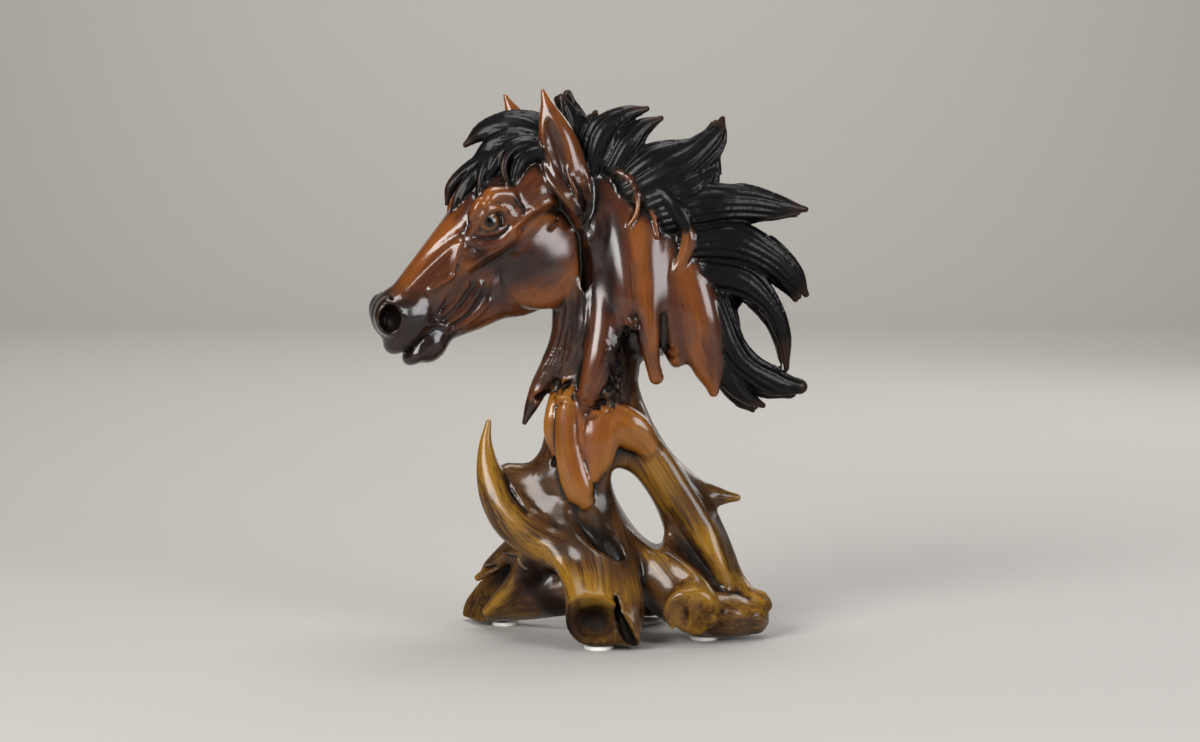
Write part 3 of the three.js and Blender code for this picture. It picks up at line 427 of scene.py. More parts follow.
# roots, trunk, leg, horn and spike, what is cut from them, then rims, lumps and creases
def addStand(clay):
    layStrokes(clay, [
        # front root, with a slab beside it
        (((0, -2, 74), (0, -14, 50), (3, -30, 31), (3.5, -46, 17), (3, -62, 15)), (16, 16, 16.5, 16, 15),
         (14, 15, 15, 14, 13), {"blend": 9}),
        (((10, -12, 58), (17, -28, 36), (20.5, -42, 19), (20.5, -46, 8)), (9, 9, 8.5, 8), (10, 10, 9, 8),
         {"blend": 7}),
        # left root, and the wall of wood that carries it along the table
        (((-18, 2, 57), (-33, 12, 39), (-47, 24, 21), (-70, 36, 11)), (14, 14, 14, 12), (14, 14, 14, 12),
         {"blend": 8}),
        (((6, 6, 26), (-16, 12, 22), (-36, 22, 17), (-58, 32, 14)), (14, 14, 13, 12), (15, 14, 13, 12),
         {"blend": 6}),
        # right-front root
        (((26, -2, 50), (38, -12, 35), (50, -22, 22), (55, -36, 19)), (14, 15, 14, 13), (14, 14, 14, 13),
         {"blend": 9}),
        (((34, -4, 30), (48, -10, 20), (64, -16, 13), (74, -18, 12)), (12, 13, 12, 9), (12, 13, 12, 10),
         {"blend": 7}),
        # right root in two lobes
        (((60, 0, 42), (73, -2, 27), (82, -6, 20), (90, -8, 17.5)), (15, 11, 8.5, 7), (14, 12, 9.5, 8),
         {"blend": 9}),
        (((54, -8, 17), (70, -12, 12), (82, -12, 9.5), (88, -12, 9)), (12, 10, 8.5, 6.6), (12, 11, 9, 7),
         {"blend": 4}),
        # back root
        (((8, 6, 62), (18, 20, 38), (30, 38, 18), (38, 56, 13)), (15, 15, 14, 12), (15, 15, 14, 12),
         {"blend": 8}),
        # trunk
        (((10, 2, 176), (6, 1, 150), (2, 0, 128), (2, 0, 112), (-2, -1, 92), (-6, -2, 74)),
         (18, 21, 23, 25, 25, 22), (15, 17, 18, 18, 17, 17), {"blend": 7, "kind": "trunk"}),
        # leg to the right of the hole, strut to its left
        (((17, 1, 122), (31, 2, 94), (45, 3, 74), (55, 3, 57), (60, 2, 40), (63, -2, 24)),
         (11, 12.5, 14, 15.5, 16, 14), (14, 14, 15, 16, 17, 16), {"blend": 8}),
        (((-2, 2, 86), (4, 1, 66), (16, 0, 50), (32, -2, 38), (46, -6, 26)), (13, 12, 11, 13, 14),
         (13, 13, 13, 14, 14), {"blend": 9}),
        # spike behind the leg
        (((42, 4, 85), (57, 5, 77), (68, 5, 74), (79, 5, 73.2)), (7, 6.5, 5.2, 2), (8, 6, 4.5, 2),
         {"blend": 6}),
        # web between the horn and the trunk, and the horn as a band that runs on into the front root
        (((-44, -2, 82), (-30, -2, 80), (-14, -2, 84)), (11, 14, 16), (8, 11, 14), {"blend": 7}),
        (((-40, -4, 68), (-24, -6, 62), (-6, -6, 58)), (14, 16, 18), (10, 14, 16), {"blend": 8}),
        (
            ((-54, -4, 115), (-55.5, -6, 104), (-54, -9, 90), (-49, -13, 76), (-40, -16, 63),
             (-26, -18, 53), (-8, -20, 46)),
            (1.6, 3.4, 6.5, 9.5, 11, 11, 12),
            (1.8, 3, 5, 7, 8.5, 10, 12),
            {"blend": 5},
        ),
        # ridges that run over the leg and the front root
        (((24, -8, 118), (37, -11, 96), (48, -11.5, 78), (60, -12, 58), (67, -13, 40), (72, -13, 30)),
         (3, 6, 6, 6, 5, 3), (3, 4, 4, 4, 4, 3), {"blend": 8}),
        (((36, -12, 48), (48, -22, 40), (58, -30, 31), (63, -34, 24)), (2, 4, 4, 2), (3, 4, 4, 2),
         {"blend": 5}),
        (((-20, -24, 50), (-12, -34, 38), (-8, -46, 28), (-7, -54, 22)), (3, 4, 4, 3), (3, 4, 4, 3),
         {"blend": 6}),
    ], "root")
    clay.cut(Bead((25, 0, 69.5), (8.2, 80, 24), ovalAxes(29.7)), 5)  # hole between the leg and the strut
    # sawn ends of the front, left and back roots
    for point, direction, reach in (
        ((3, -53.4, 15), (-0.08, -0.97, -0.06), 26),
        ((-59, 29, 12), (-0.82, -0.42, 0.4), 26),
        ((34, 46.6, 14), (0.35, 0.94, 0.1), 26),
    ):
        clay.cut(Beyond(point, direction, reach), 2, "sawn")
    clay.cut(Beyond((54, -40, 17), (0.15, -0.96, -0.1), 20), 5)
    # underside of the front root, cut back so that the pad shows below its end
    clay.cut(Beyond((3, -47, 2), (0, -0.32, -0.95), 15), 2)
    # hollow end of the front root, the slit beside it, the knot of the right-front root
    clay.cut(Bead((2.5, -60, 15.5), (12.5, 15, 10.6), upright), 1.5, "hollow")
    clay.cut(Stroke([(13.5, -47, 27), (15, -51, 19), (19, -53.5, 10), (23.5, -53, 2)],
        (0.6, 1.8, 2.5, 2.0), (2, 3.6, 4, 4)), 3, "pit")
    clay.cut(Bead((47, -42.5, 18), (6.5, 4, 8.5), ovalAxes(20)), 2.5)
    # slab on top of the left root, and lumps on the ends of the right roots
    layStrokes(clay, [
        (((-28, 10, 54), (-44, 17, 42), (-54, 19, 33), (-61, 20, 27.5)), (8, 6, 4.6, 2), (8, 8, 6, 2.5),
         {"blend": 3}),
        (((58, -14, 16), (74, -18, 13), (86, -15, 12.5)), (10, 10, 7), (10, 10, 8), {"blend": 5}),
        (((56, -26, 22), (66, -24, 18), (76, -20, 15)), (8, 8, 6), (8, 9, 7), {"blend": 5}),
        # rolled rim of the knot, and torn bark beside it
        (((43, -38, 10), (40.5, -37.5, 17), (42.5, -38, 24), (48, -38.5, 28), (53, -39, 24),
         (54.5, -39.5, 17), (52, -39.5, 10)), (1, 2, 2.2, 2.4, 2.2, 2, 1), (1, 2, 2.2, 2.4, 2.2, 2, 1),
         {"blend": 2.5}),
        (((49, -37, 22), (46, -37.5, 18), (47, -38, 13)), (1, 1.6, 1), (1, 1.6, 1), {"blend": 2}),
        # edge of the left root, from under the horn to the table
        (((-30, 8, 50), (-37, 7, 42), (-41, 8, 29), (-49, 13, 18), (-56, 17, 10)), (3, 3, 3, 2.6, 2),
         (4, 4, 4, 3, 2), {"blend": 7}),
    ], "root")
    # creases: along the horn, between the body and the strut, along the leg, on the left root
    clay.cut(Stroke([(-45.5, -13.5, 88), (-41, -17, 78), (-34, -22, 69)], (0.5, 1.1, 0.5),
        (2.5, 3.4, 2.5)), 3)
    clay.cut(Stroke([(-7, -22, 70), (1, -24, 60), (8, -26, 52), (14, -29, 45)], (2, 4.5, 5, 3),
        (1.5, 3, 3.6, 2)), 7)
    clay.cut(Stroke([(-61, 9, 25), (-56, 9, 28), (-50, 8, 32)], (0.6, 1.2, 0.6), (3, 3.6, 2)), 2)
    clay.cut(Stroke([(42, -14, 66), (50, -16, 52), (60, -18, 40), (68, -20, 30)], (1, 3.4, 2.4, 0.8),
        (2, 5, 4, 2)), 6)
    clay.cut(Stroke([(-68, 22, 30), (-59, 16, 32), (-51, 12, 35)], (0.6, 1.2, 0.6), (3, 3.6, 2)), 2)


# axes of an oval whose long one leans from upright in the front view
def ovalAxes(leanDegrees):
    c, s = np.cos(np.radians(leanDegrees)), np.sin(np.radians(leanDegrees))
    return np.array([[c, 0, s], [0, 1, 0], [s, 0, -c]])


# tongues of pale wood that hang over the trunk
def addTongues(clay):
    layStrokes(clay, [
        (((-16, -6, 134), (-19, -12, 122), (-20, -13.5, 110), (-18, -14.5, 98)), (3.5, 4.5, 4.5, 2),
         (3, 4, 3.6, 2), {"blend": 2}),
        (((-8, -8, 142), (-11, -15.5, 127), (-11.5, -18, 110), (-9.5, -19.5, 93), (-5, -20, 79),
         (-2, -19.5, 73.5)), (5, 6, 7, 8, 7.6, 4.5), (4, 4.5, 4.5, 4.5, 4.5, 3.5), {"blend": 1}),
        (((10, -10, 126), (7, -16, 118), (5, -18.5, 108), (4, -19, 97), (1.5, -18.5, 87)),
         (9, 11, 10.5, 8.5, 4), (5, 5, 5, 4, 3), {"blend": 1}),
        (((8, -13, 118), (17, -16.5, 114.5), (26, -15, 108.5), (32, -12.5, 101)), (8, 10, 9, 4.5),
         (4, 5, 4.5, 3.5), {"blend": 4}),
        (((-4, -13, 132), (-4.5, -18, 114), (-3.5, -19, 98)), (3, 2.6, 1.5), (4, 4, 3), {"blend": 1}),
    ], "tongue")
    clay.cut(Bead((-19.3, -17, 95), (2, 4, 3), upright), 0.8, "pit")


# neck with its hanging folds and drips, on both sides, and the cavities between them
def addNeck(clay):
    layStrokes(clay, [
        (((-4, 2, 242), (12, 2, 222), (24, 2, 198), (30, 2, 178), (34, 2, 164)), (19, 28, 32, 34, 28),
         (16, 19, 20, 19, 15), {"blend": 4}),
        # throat, hanging in a long tip and a shorter one
        (((-8, -2, 190), (-10, -3, 168), (-15, -4, 154), (-21, -5, 143), (-27, -6, 133), (-31.5, -7, 123),
         (-34.8, -8, 115)), (12, 10.5, 8, 6.5, 5, 3.4, 1.4), (14, 12, 9, 7, 5, 3.6, 1.8),
         {"blend": 4, "mirrored": True, "ridges": 6, "groove": 1.3, "wave": 0.8, "kind": "throat"}),
        (((-3, -7, 184), (-5, -9, 164), (-9, -10, 150), (-14, -10, 141)), (8, 8, 7, 3), (8, 8, 6, 3),
         {"blend": 3, "mirrored": True, "ridges": 5, "groove": 1.2, "wave": 0.8, "kind": "throat"}),
        # fold in front of the trunk, a crest at first and a tongue below
        (((2, -7, 212), (7, -11.5, 191), (8, -15, 171), (5.5, -19, 152), (1, -20, 136), (-3, -19, 121)),
         (4, 6.5, 8.5, 8.5, 6.5, 2.4), (6, 6, 6, 6, 5, 2.6), {"blend": 5, "mirrored": True}),
        # middle of the neck and the drip that hangs from it
        (((15, -4, 236), (17, -11, 214), (18.5, -16, 197), (19.5, -18.5, 182), (20, -18, 170)),
         (6, 8.5, 8.5, 7, 5), (6, 7, 6.5, 5.5, 4), {"blend": 6, "mirrored": True}),
        (((30, -4, 232), (30, -11, 212), (30.5, -16.5, 192), (31, -19, 170), (32.4, -18.5, 154),
         (35, -17, 140)), (5, 8, 8.5, 7.5, 5.2, 4), (5, 6.5, 6.5, 6, 5, 4),
         {"blend": 7, "mirrored": True}),
        (((37, 2, 220), (38.5, -9, 196), (39.5, -12.5, 176), (40.5, -13, 160)), (6, 7, 7, 4),
         (6, 7, 6, 3), {"blend": 7, "mirrored": True}),
        (((0, 0, 232), (3, -8, 218), (6, -9.5, 204), (8, -10, 190)), (6, 7, 6, 4), (6, 7.5, 7, 4),
         {"blend": 5, "mirrored": True}),
        # back of the neck, ending in a broad tongue
        (((38, 0, 214), (43.5, -10, 186), (45, -12, 166), (45.5, -11, 149.5)), (8, 8, 7, 5), (8, 8, 7, 5),
         {"blend": 6, "mirrored": True}),
        (((42, 0, 220), (51, -9.5, 194), (57, -12, 172), (60, -11.5, 156), (63.5, -9, 142),
         (65.6, -6, 131.5)), (9, 12, 12.5, 11.5, 8, 3), (8, 9, 9, 8, 6, 3.5),
         {"blend": 5, "mirrored": True}),
    ], "skin")
    for side in bothSides:
        y = lambda depth: drawn["middle"] - side * depth
        clay.add(Bead((3.5, y(14.5), 216), (6, 6, 11), upright), 4)  # fills the corner behind the ear
        # groove between the drip and the back of the neck
        clay.cut(Stroke([(38.6, y(22.5), 172), (39.4, y(22), 160), (40, y(20), 146)], (0.6, 1.6, 1.4),
            (1, 2.6, 5)), 5)
        clay.cut(Stroke([(21, y(26), 161), (20, y(27), 150), (19, y(27), 140), (17, y(27), 132)],
            (4, 6.5, 7, 5), (9, 11, 10, 6)), 1.5, "pit")
        clay.cut(Stroke([(-28, y(14), 128), (-20, y(19), 133), (-10, y(21), 138)], (2, 2.5, 1.5),
            (7, 7, 5)), 1.5, "pit")
    # loose strands that lie on the neck
    layStrokes(clay, [
        (((14, -13.5, 248.5), (21, -15.5, 244), (25, -17, 235), (24.5, -18.3, 226.5), (20, -19, 219.5)),
         (1.4, 1.6, 1.5, 1.2, 0.7), (1.6, 1.8, 1.6, 1.3, 0.7), {"blend": 1.5, "mirrored": True}),
        (((50, -17, 222), (52, -18, 213), (49, -17.5, 203), (42, -18, 191.5)), (2, 4, 3.2, 1.2),
         (2.4, 3.4, 2.6, 1), {"blend": 2, "mirrored": True}),
        (((36, -15, 239), (44, -18, 231), (50, -18.5, 221), (52, -18.5, 211)), (3, 4.2, 4.2, 1),
         (3, 3.8, 3.4, 1), {"blend": 1.5, "mirrored": True, "kind": "mane"}),
        (((29, -14.5, 236), (33, -16.5, 226), (36, -17.6, 214)), (0.9, 1.1, 0.7), (1.2, 1.4, 0.7),
         {"blend": 1.5, "mirrored": True}),
    ], "skin")


# the crest, then the locks that leave it
def addMane(clay):
    strands = {"groove": drawn["strandGroove"], "wave": 0.9}
    layStrokes(clay, [
        (
            ((-6, 2, 254), (14, 2, 249), (36, 2, 237), (54, 2, 218), (66, 2, 196), (72, 2, 174),
             (74, 2, 154), (79, 1, 138)),
            (9, 12, 14, 15, 13, 9, 8, 8),
            (11, 14, 16, 16, 14, 11, 9, 6),
            {"blend": 3},
        ),
    ], "mane")
    # each lock leaves the crest, bends and ends in a tip; another lies behind it and a third beyond both
    locks = [
        (((-8, 6, 254), (-8, 6, 272), (-12, 5, 289.4)), (9, 8.4, 2.4), (6, 4.4, 1.8), 3),
        (((-7, 0, 256), (-5, 0, 270), (-6, -1, 279)), (8, 7.4, 2), (6, 4.4, 1.8), 3),
        (((-4, -6, 252), (-2, -7, 268), (3, -6, 279)), (6, 5, 1.6), (6, 4, 1.6), 3),
        (((0, -8, 250), (7, -9, 269), (18, -8, 277.5), (30, -5, 281)), (9, 8.5, 5.5, 1.6), (7, 6, 4, 1.6),
         5),
        (((12, -8, 250), (20, -9, 262), (28, -7, 271), (37.5, -4, 276)), (9, 8.5, 5.5, 1.6),
         (7, 6, 4, 1.6), 5),
        (((18, -8, 244), (32, -10, 254), (45, -9, 259.5), (56, -8, 264)), (9, 9, 6, 2), (8, 7, 5, 2), 4),
        (((22, -8, 238), (42, -10, 247), (57, -8, 256), (66, -6, 266), (70, -5, 276)),
         (12, 13, 11, 7.5, 1.5), (10, 9, 7, 5, 1.5), 5),
        (((34, -9, 232), (52, -11, 238), (62, -8, 246), (66, -6, 258)), (12, 11, 8, 3), (10, 9, 6, 3), 5),
        (((42, -9, 226), (64, -11, 231), (84, -9, 231), (101, -7, 229.5), (114.2, -4, 228)),
         (12, 12, 10.5, 6, 1.6), (11, 10, 7, 4, 1.6), 6),
        (((56, -9, 212), (78, -11, 211), (96, -9, 202), (108, -6, 192), (114.5, -4, 183)),
         (12, 12, 10, 6.5, 1.8), (11, 9, 7, 5, 1.8), 6),
        (((62, -8, 196), (82, -9, 190), (96.5, -7, 175), (103, -5, 160), (104.4, -3, 143.5)),
         (12, 10, 6.6, 4, 1.6), (10, 7, 5, 4, 1.6), 5),
        (((68, -8, 178), (74, -9, 158), (83, -8, 145), (97, -6, 137), (111.4, -4, 134)),
         (9, 8.5, 9, 8.5, 4.4), (9, 8, 7, 6, 4.4), 5),
        (((72, -6, 150), (76, -7, 138), (83, -6, 129), (92, -4, 123.8)), (9, 8, 5, 1.6), (8, 6, 4.5, 1.6),
         4),
    ]
    middle = drawn["middle"]
    for points, wide, thick, ridges in locks:
        shares = np.linspace(0, 1, len(points))
        for side, back, down in ((1, 0, 0), (0, 5, 3), (-1, 3, 2)):
            placed = [
                (x - back * s, middle + side * (y - middle) - (side - 1) * s, z - down * s)
                for (x, y, z), s in zip(points, shares)
            ]
            clay.add(Stroke(placed, wide, thick, ridges=ridges, **strands), 1, "mane")
    # gap between two locks
    clay.cut(Stroke([(81, 0, 174), (87.5, 0, 163), (95, 0, 152.5), (101, 0, 144.5)], (2.5, 6.6, 4.6, 1),
        (40, 40, 40, 40)), 1.5)


# face, jaw, muzzle, eyes, nostrils and mouth, then the low relief of both sides
def addHead(clay):
    line = lambda *places: [onHead(u, v, 0) for u, v in places]
    left = leftOfHead
    # face from poll to nose, then the jaw under it
    clay.add(Stroke(line((4, 2), (25, 4), (50, 5), (70, 5.5), (90, 5.5), (110, 4.5), (122, 4)),
        (18, 22, 22.5, 19.5, 17, 15.5, 14.5), (17, 21, 22, 17.5, 14, 13, 13.5), left), 4)
    clay.add(Stroke(line((32, -20), (46, -24.5), (62, -22.5), (76, -18.5), (92, -15), (107, -12.5),
        (120, -13)), (21, 26, 24, 19, 16, 12, 9), (15, 15, 14, 12, 10, 9, 9), left), 5)
    clay.add(Bead(onHead(119.5, 4, 0), (14, 14.5, 14.5)), 4)
    clay.add(Bead(onHead(123, 9, 0), (13, 12, 12.5)), 4)
    clay.add(Bead(onHead(128, -2.5, 0), (12, 7.5, 12)), 3)
    clay.add(Bead(onHead(121, -16.5, 0), (10.8, 8.8, 10.5)), 4)
    clay.add(Bead(onHead(128, -14.2, 0), (9.5, 5.4, 9.5)), 2)
    for side in bothSides:
        on = lambda u, v, w: onHead(u, v, side * w)
        clay.add(Bead(on(45.5, -28, 9), (27.5, 26, 10.5)), 1.2)  # cheek
        clay.add(Bead(on(44, -12, 8), (24, 18, 10.5)), 4)
        # brow
        clay.add(Stroke([on(38, 14, 19), on(45, 20.5, 19), on(56, 20.5, 19), on(66, 14, 16)],
            (4.5, 4.5, 4, 2), (4, 5, 4.5, 2), left), 2.5)
        clay.add(Bead(on(24, 2, 18), (9, 8, 5)), 4)  # temple
        clay.cut(Bead(on(56, 10.5, 26), (10, 7.5, 6.2)), 3)  # eye socket
        clay.add(Stroke([on(44, 15, 16), on(50, 19.5, 17.5), on(58, 19, 17), on(65, 15, 14.5)],
            (3, 3.4, 3.2, 2), (3.5, 4, 4, 3), left), 2)
        clay.add(Bead(on(55.5, 11.2, 16.3), (7.5, 7.5, 7.5)), 0.4, "eye")
        # upper lid
        clay.add(Stroke([on(45.4, 5.6, 17.5), on(47, 13.2, 20.7), on(52.4, 17.3, 21.9),
            on(58.8, 17, 21.1), on(64.6, 13.2, 17.4)], (1.3, 2, 2.2, 2, 1), (1.6, 2.2, 2.4, 2, 1), left),
            1.5)
        # lower lid
        clay.add(Stroke([on(46, 5.4, 17.5), on(51.5, 4.3, 20.5), on(57.4, 5.7, 20.9), on(62.6, 9.4, 19.3),
            on(66.8, 12.6, 16.5)], (1, 1.3, 1.4, 1.3, 0.7), (1.5, 1.8, 1.8, 1.5, 0.7), left), 1.4)
        clay.add(Bead(on(125.8 + 1.4 * side, 11.7, 8.3), (10.4, 8.6, 7.2), leaning(134)), 2.5)  # nostril
        clay.cut(Bead(on(129.5, 12.2, 15.5), (7.9, 5.6, 10), leaning(134)), 1, "pit")
        clay.cut(Bead(on(120.8, 20, 12), (2.2, 1.0, 5), leaning(100)), 0.8, "pit")
        clay.cut(Stroke([on(113.5, -11.6, 15), on(122, -9.3, 14), on(132, -8.8, 10), on(141, -8, 0)],
            (0.5, 0.8, 0.8, 0.8), (5, 5, 5, 5), left), 0.8, "pit")
        rim = [on(16, -21.5, 20), on(22, -28.5, 19), on(29.5, -38.5, 17), on(37.5, -49, 15),
            on(45, -55, 11)]
        clay.cut(Stroke(rim, (0.5, 1.2, 1.8, 2.4, 1.4), (1.5, 3, 4, 5, 4), left), 3)  # behind the cheek

    # chart of the head's sides: u, v, and how far out the point is
    def chart(p):
        q = (p - headOrigin) @ headAxes.T / headUnit
        return q[:, 0], q[:, 1], np.clip((np.abs(q[:, 2]) - 3) / 6, 0, 1)

    lines = [
        (((52, -3.5), (61, -2.5), (70, 0), (79, 1.6)), 2.8, 1.8),  # ridge of the cheekbone
        (((56, -8), (68, -5.5), (80, -2.5)), 2.6, -1.0),
        (((84, 6.6), (92, 2), (99, -2), (106, -4.6)), 1.2, -1.0),
        (((74.5, 14), (81, 10.7), (86, 6.6), (89, 4.2), (96, 6), (103, 7.6)), 1.5, 1.5),  # vein
        (((89, 4.2), (97, -1), (107, -3)), 1.4, 0.8),
        (((70, 17.5), (82, 19), (95, 19.6), (108, 20), (117, 19.5)), 1.7, -1.1),  # groove beside the bridge
        (((72, 14.8), (84, 15.8), (98, 16.2), (110, 16.4)), 1.8, 0.7),
        # crease in front of the brow
        (((48.6, 25), (52, 22.5), (56, 21), (61, 19), (66, 17), (72, 14.8)), 1.6, -1.2),
        # folds above the eye
        (((52, 21.5), (47, 18.5), (44.6, 12.5), (45, 6.5), (41.5, 2), (36, 1)), 1.3, 0.9),
        (((50, 21), (46, 16.5), (45, 9.5), (43.4, 4)), 0.9, -0.7),
        (((66.5, 12), (63.5, 5.5), (57, 2.6), (50, 3)), 1.0, -0.9),  # wrinkles under the eye
        (((69.5, 11.5), (66.5, 3.8), (58.5, 0.4), (50.5, 0.6)), 1.3, 0.7),
        (((72.5, 11), (69.5, 3.5), (61, -0.6)), 1.0, -0.6),
        (((75, 10), (73, 4)), 1.2, 0.6),
        # rim of the cheek
        (((49, 0.6), (37, -0.8), (29, -2.4), (22.5, -6), (19.6, -13), (19.6, -24), (25, -36)), 1.5, 1.0),
        (((45, -3.6), (36, -4.6), (29, -6.8), (25, -12)), 2.4, -0.7),
        (((27, -15.2), (30, -15.6), (34, -15.4)), 0.9, -0.9),
        (((64, -49), (73, -41), (77, -32), (75, -23), (69, -15)), 3.2, -1.2),  # front of the cheek
        (((81, -11), (96, -14.5), (108, -13.5)), 2.2, 1.4),  # muscles before it
        (((84, -21), (96, -21.5), (106, -19.5)), 2.0, 1.2),
        (((86, -5.5), (99, -8), (109, -7.5)), 1.6, 1.2),
        (((83, -16), (95, -18), (106, -16.5)), 1.3, -1.1),
        (((110, -15), (111.5, -10), (116, -5.5)), 1.4, 1.0),  # corner of the mouth
        (((106, -17), (108, -10), (112, -4)), 1.3, -0.7),
        (((112, 0), (120, -3.5), (130, -4.5)), 1.8, 0.5),
    ]
    clay.emboss(onHead(75, 0, 0) - (80, 45, 80), onHead(75, 0, 0) + (80, 45, 80), chart, lines)


# the near ear with the folds at its root, and the far ear
def addEars(clay):
    face = (0.1, -1, 0.1)
    clay.add(Stroke([(-4, -12, 222), (-8, -17, 238), (-13, -20, 254), (-18.5, -21, 270),
        (-24.5, -21, 290.2)], (5, 9, 10.3, 8.6, 1.2), (6, 8, 7, 6, 1.2), face), 3, "skin")
    clay.cut(Stroke([(-11.5, -31, 241), (-15.5, -31, 253), (-19.5, -30.5, 266), (-24, -28, 281)],
        (2, 5, 5.6, 1.6), (4.5, 6.6, 6.6, 3), face), 2.5, "ear")
    # folds and tufts at the root of the near ear
    layStrokes(clay, [
        (((-22, -19, 262), (-19.5, -23, 250), (-14, -25.5, 240), (-7, -25, 230), (-4.5, -22, 221)),
         (1.5, 2.2, 2.6, 2.6, 1.2), (2, 3, 3, 3, 1.2), {"blend": 1.2}),
        (((-24, -21, 254), (-21, -25, 244), (-14, -27, 236), (-7, -26, 226)), (1.5, 2.6, 2.4, 1),
         (2, 3, 3, 1.2), {"blend": 1.2}),
        (((-6, -21, 256), (-2, -21, 244), (-1, -20, 232), (-3.5, -19, 222)), (1.6, 2.4, 2.6, 1.2),
         (2, 3, 3, 1.4), {"blend": 1.2}),
        (((-12, -25, 250), (-8.5, -26, 240), (-5, -25, 230)), (1.2, 1.8, 1), (1.6, 2.2, 1.2),
         {"blend": 0.8}),
    ], "ear")
    clay.add(Stroke([(-20, 18, 238), (-30, 20, 256), (-38, 21, 272), (-45.5, 21, 288)], (8, 9, 7.5, 1.2),
        (8, 7, 5.5, 1.2), face), 2.5, "skin")
    clay.cut(Stroke([(-32, 28, 252), (-39, 28, 266), (-44, 27, 278)], (4, 5, 1.2), (6, 6, 3), face), 1,
        "ear")


# locks that fall over the forehead
def addForelock(clay):
    fall = {"blend": 1.0, "face": (-0.6, -0.5, 0.6), "groove": 0.9, "wave": 0.6}
    layStrokes(clay, [
        (((-14, -2, 250), (-24, -4, 266), (-40, -6, 272), (-56, -7, 269), (-65.5, -8, 262)),
         (10, 11, 10, 7, 1.6), (10, 10, 8, 5, 1.6), {"ridges": 7, **fall}),
        (((-18, -8, 250), (-34, -11, 264), (-50, -13, 262), (-61, -14, 254)), (8, 9, 6.5, 1.6),
         (8, 8, 6, 1.6), {"ridges": 5, **fall}),
        (((-26, -11, 250), (-42, -14, 257), (-56, -16, 253), (-66, -17, 247), (-73, -17.5, 239.5),
         (-75, -18, 231)), (7, 7, 6, 4.6, 3.2, 1.1), (7, 7, 5, 4, 3, 1.1), {"ridges": 4, **fall}),
        (((-16, -14, 250), (-30, -19, 261), (-42, -22, 259), (-50, -24, 251), (-54.6, -25.5, 240.5)),
         (6, 6, 5.4, 4.6, 1), (6, 6, 5.4, 4, 1), {"ridges": 4, **fall}),
        (((-16, -16, 250), (-26, -21, 258), (-35, -24, 255), (-39, -27, 246), (-40, -29, 237)),
         (5, 5.4, 5, 4, 1), (5, 5, 4.4, 3.4, 1), {"ridges": 3, **fall}),
        (((-20, 6, 250), (-34, 6, 262), (-50, 3, 258), (-63, 0, 246), (-72, -3, 235)), (8, 8, 6, 4, 1.4),
         (8, 8, 6, 4, 1.4), {"ridges": 5, **fall}),
        (((-22, 14, 248), (-36, 15, 257), (-49, 13, 252), (-60, 10, 241)), (7, 7, 5, 1.4), (7, 7, 5, 1.4),
         {"ridges": 5, **fall}),
        # fine strands on the forehead and the long one across the temple
        (((-50, -20, 254), (-61, -23, 246), (-67.5, -25, 238), (-70.8, -26, 229), (-73, -25.5, 220.6)),
         (3.4, 3, 2.4, 1.8, 0.8), (3.4, 3, 2.4, 1.8, 0.8), fall),
        (((-52, -21, 250), (-60, -24, 244), (-64.5, -26, 238.5), (-67, -27.5, 233)), (2.6, 2.4, 2, 0.8),
         (2.6, 2.4, 2, 0.8), fall),
        (((-50, -22, 258), (-55, -25, 251), (-57, -27.5, 243.5), (-57.8, -29, 236)), (2.6, 2.4, 1.8, 0.8),
         (2.6, 2.4, 1.8, 0.8), fall),
        (((-28, -21, 262), (-38, -25, 261), (-43.6, -28, 255.5), (-44.7, -30, 248.8), (-42, -31.5, 240.9),
         (-38.3, -32.4, 234), (-34.3, -32.4, 228)), (2.4, 2.4, 2.2, 1.9, 1.6, 1.3, 0.8),
         (2.4, 2.4, 2.2, 2, 1.7, 1.4, 0.8), fall),
    ], "mane")


# torn and weathered wood, after all the forms are laid
def weather(clay):
    for side in bothSides:
        y = drawn["middle"] - side * 20
        clay.roughen((14, y, 146), (13, 12, 26), 1.8, (2.6, 2.6, 4))
        clay.roughen((23, y, 168), (10, 10, 14), 2.3, (2.6, 2.6, 4), seed=12)
        clay.roughen((42, y, 152), (7, 9, 8), 1.3, (2.6, 2.6, 3), seed=13)
        clay.roughen((2, y, 126), (14, 10, 12), 1.8, seed=2)
        clay.roughen((-18, y, 132.5), (19, 12, 10.5), 1.9, seed=3)
    clay.roughen((-6, -23, 234), (11, 9, 18), 1.2, (2, 2, 4), seed=8)
    clay.roughen((3, -54, 16), (22, 8, 19), 0.8, (5, 5, 5), seed=4)
    clay.roughen((60, -34, 15), (17, 12, 14), 1.3, (4, 4, 4), seed=5)
    clay.roughen((11, -24, 54), (9, 8, 20), 0.8, (3, 3, 7), seed=11)
    clay.roughen((88, -9, 16), (14, 12, 14), 1.6, (4, 4, 4), seed=6)
    clay.roughen((60, 0, 60), (30, 22, 50), 0.5, (6, 6, 12), seed=9)
    clay.roughen((-20, -8, 60), (44, 24, 40), 0.5, (7, 6, 6), seed=10)
    clay.roughen((-58, 30, 12), (12, 14, 12), 0.8, seed=7)


clay = Clay((-121, -60, -3), (121, 55, 297), drawn["cell"])
for stage in (addStand, addTongues, addNeck, addMane, addHead, addEars, addForelock, weather):
    stage(clay)
    print("laid", stage.__name__)
low = clay.axes[2] < drawn["soleReach"]
beneath = (drawn["sole"] - clay.axes[2][low]).astype(np.float32)
clay.field[:, :, low] = np.maximum(clay.field[:, :, low], beneath)
corners, quads = clay.skin()
print("figure meshed:", len(corners), "corners,", len(quads), "quads")


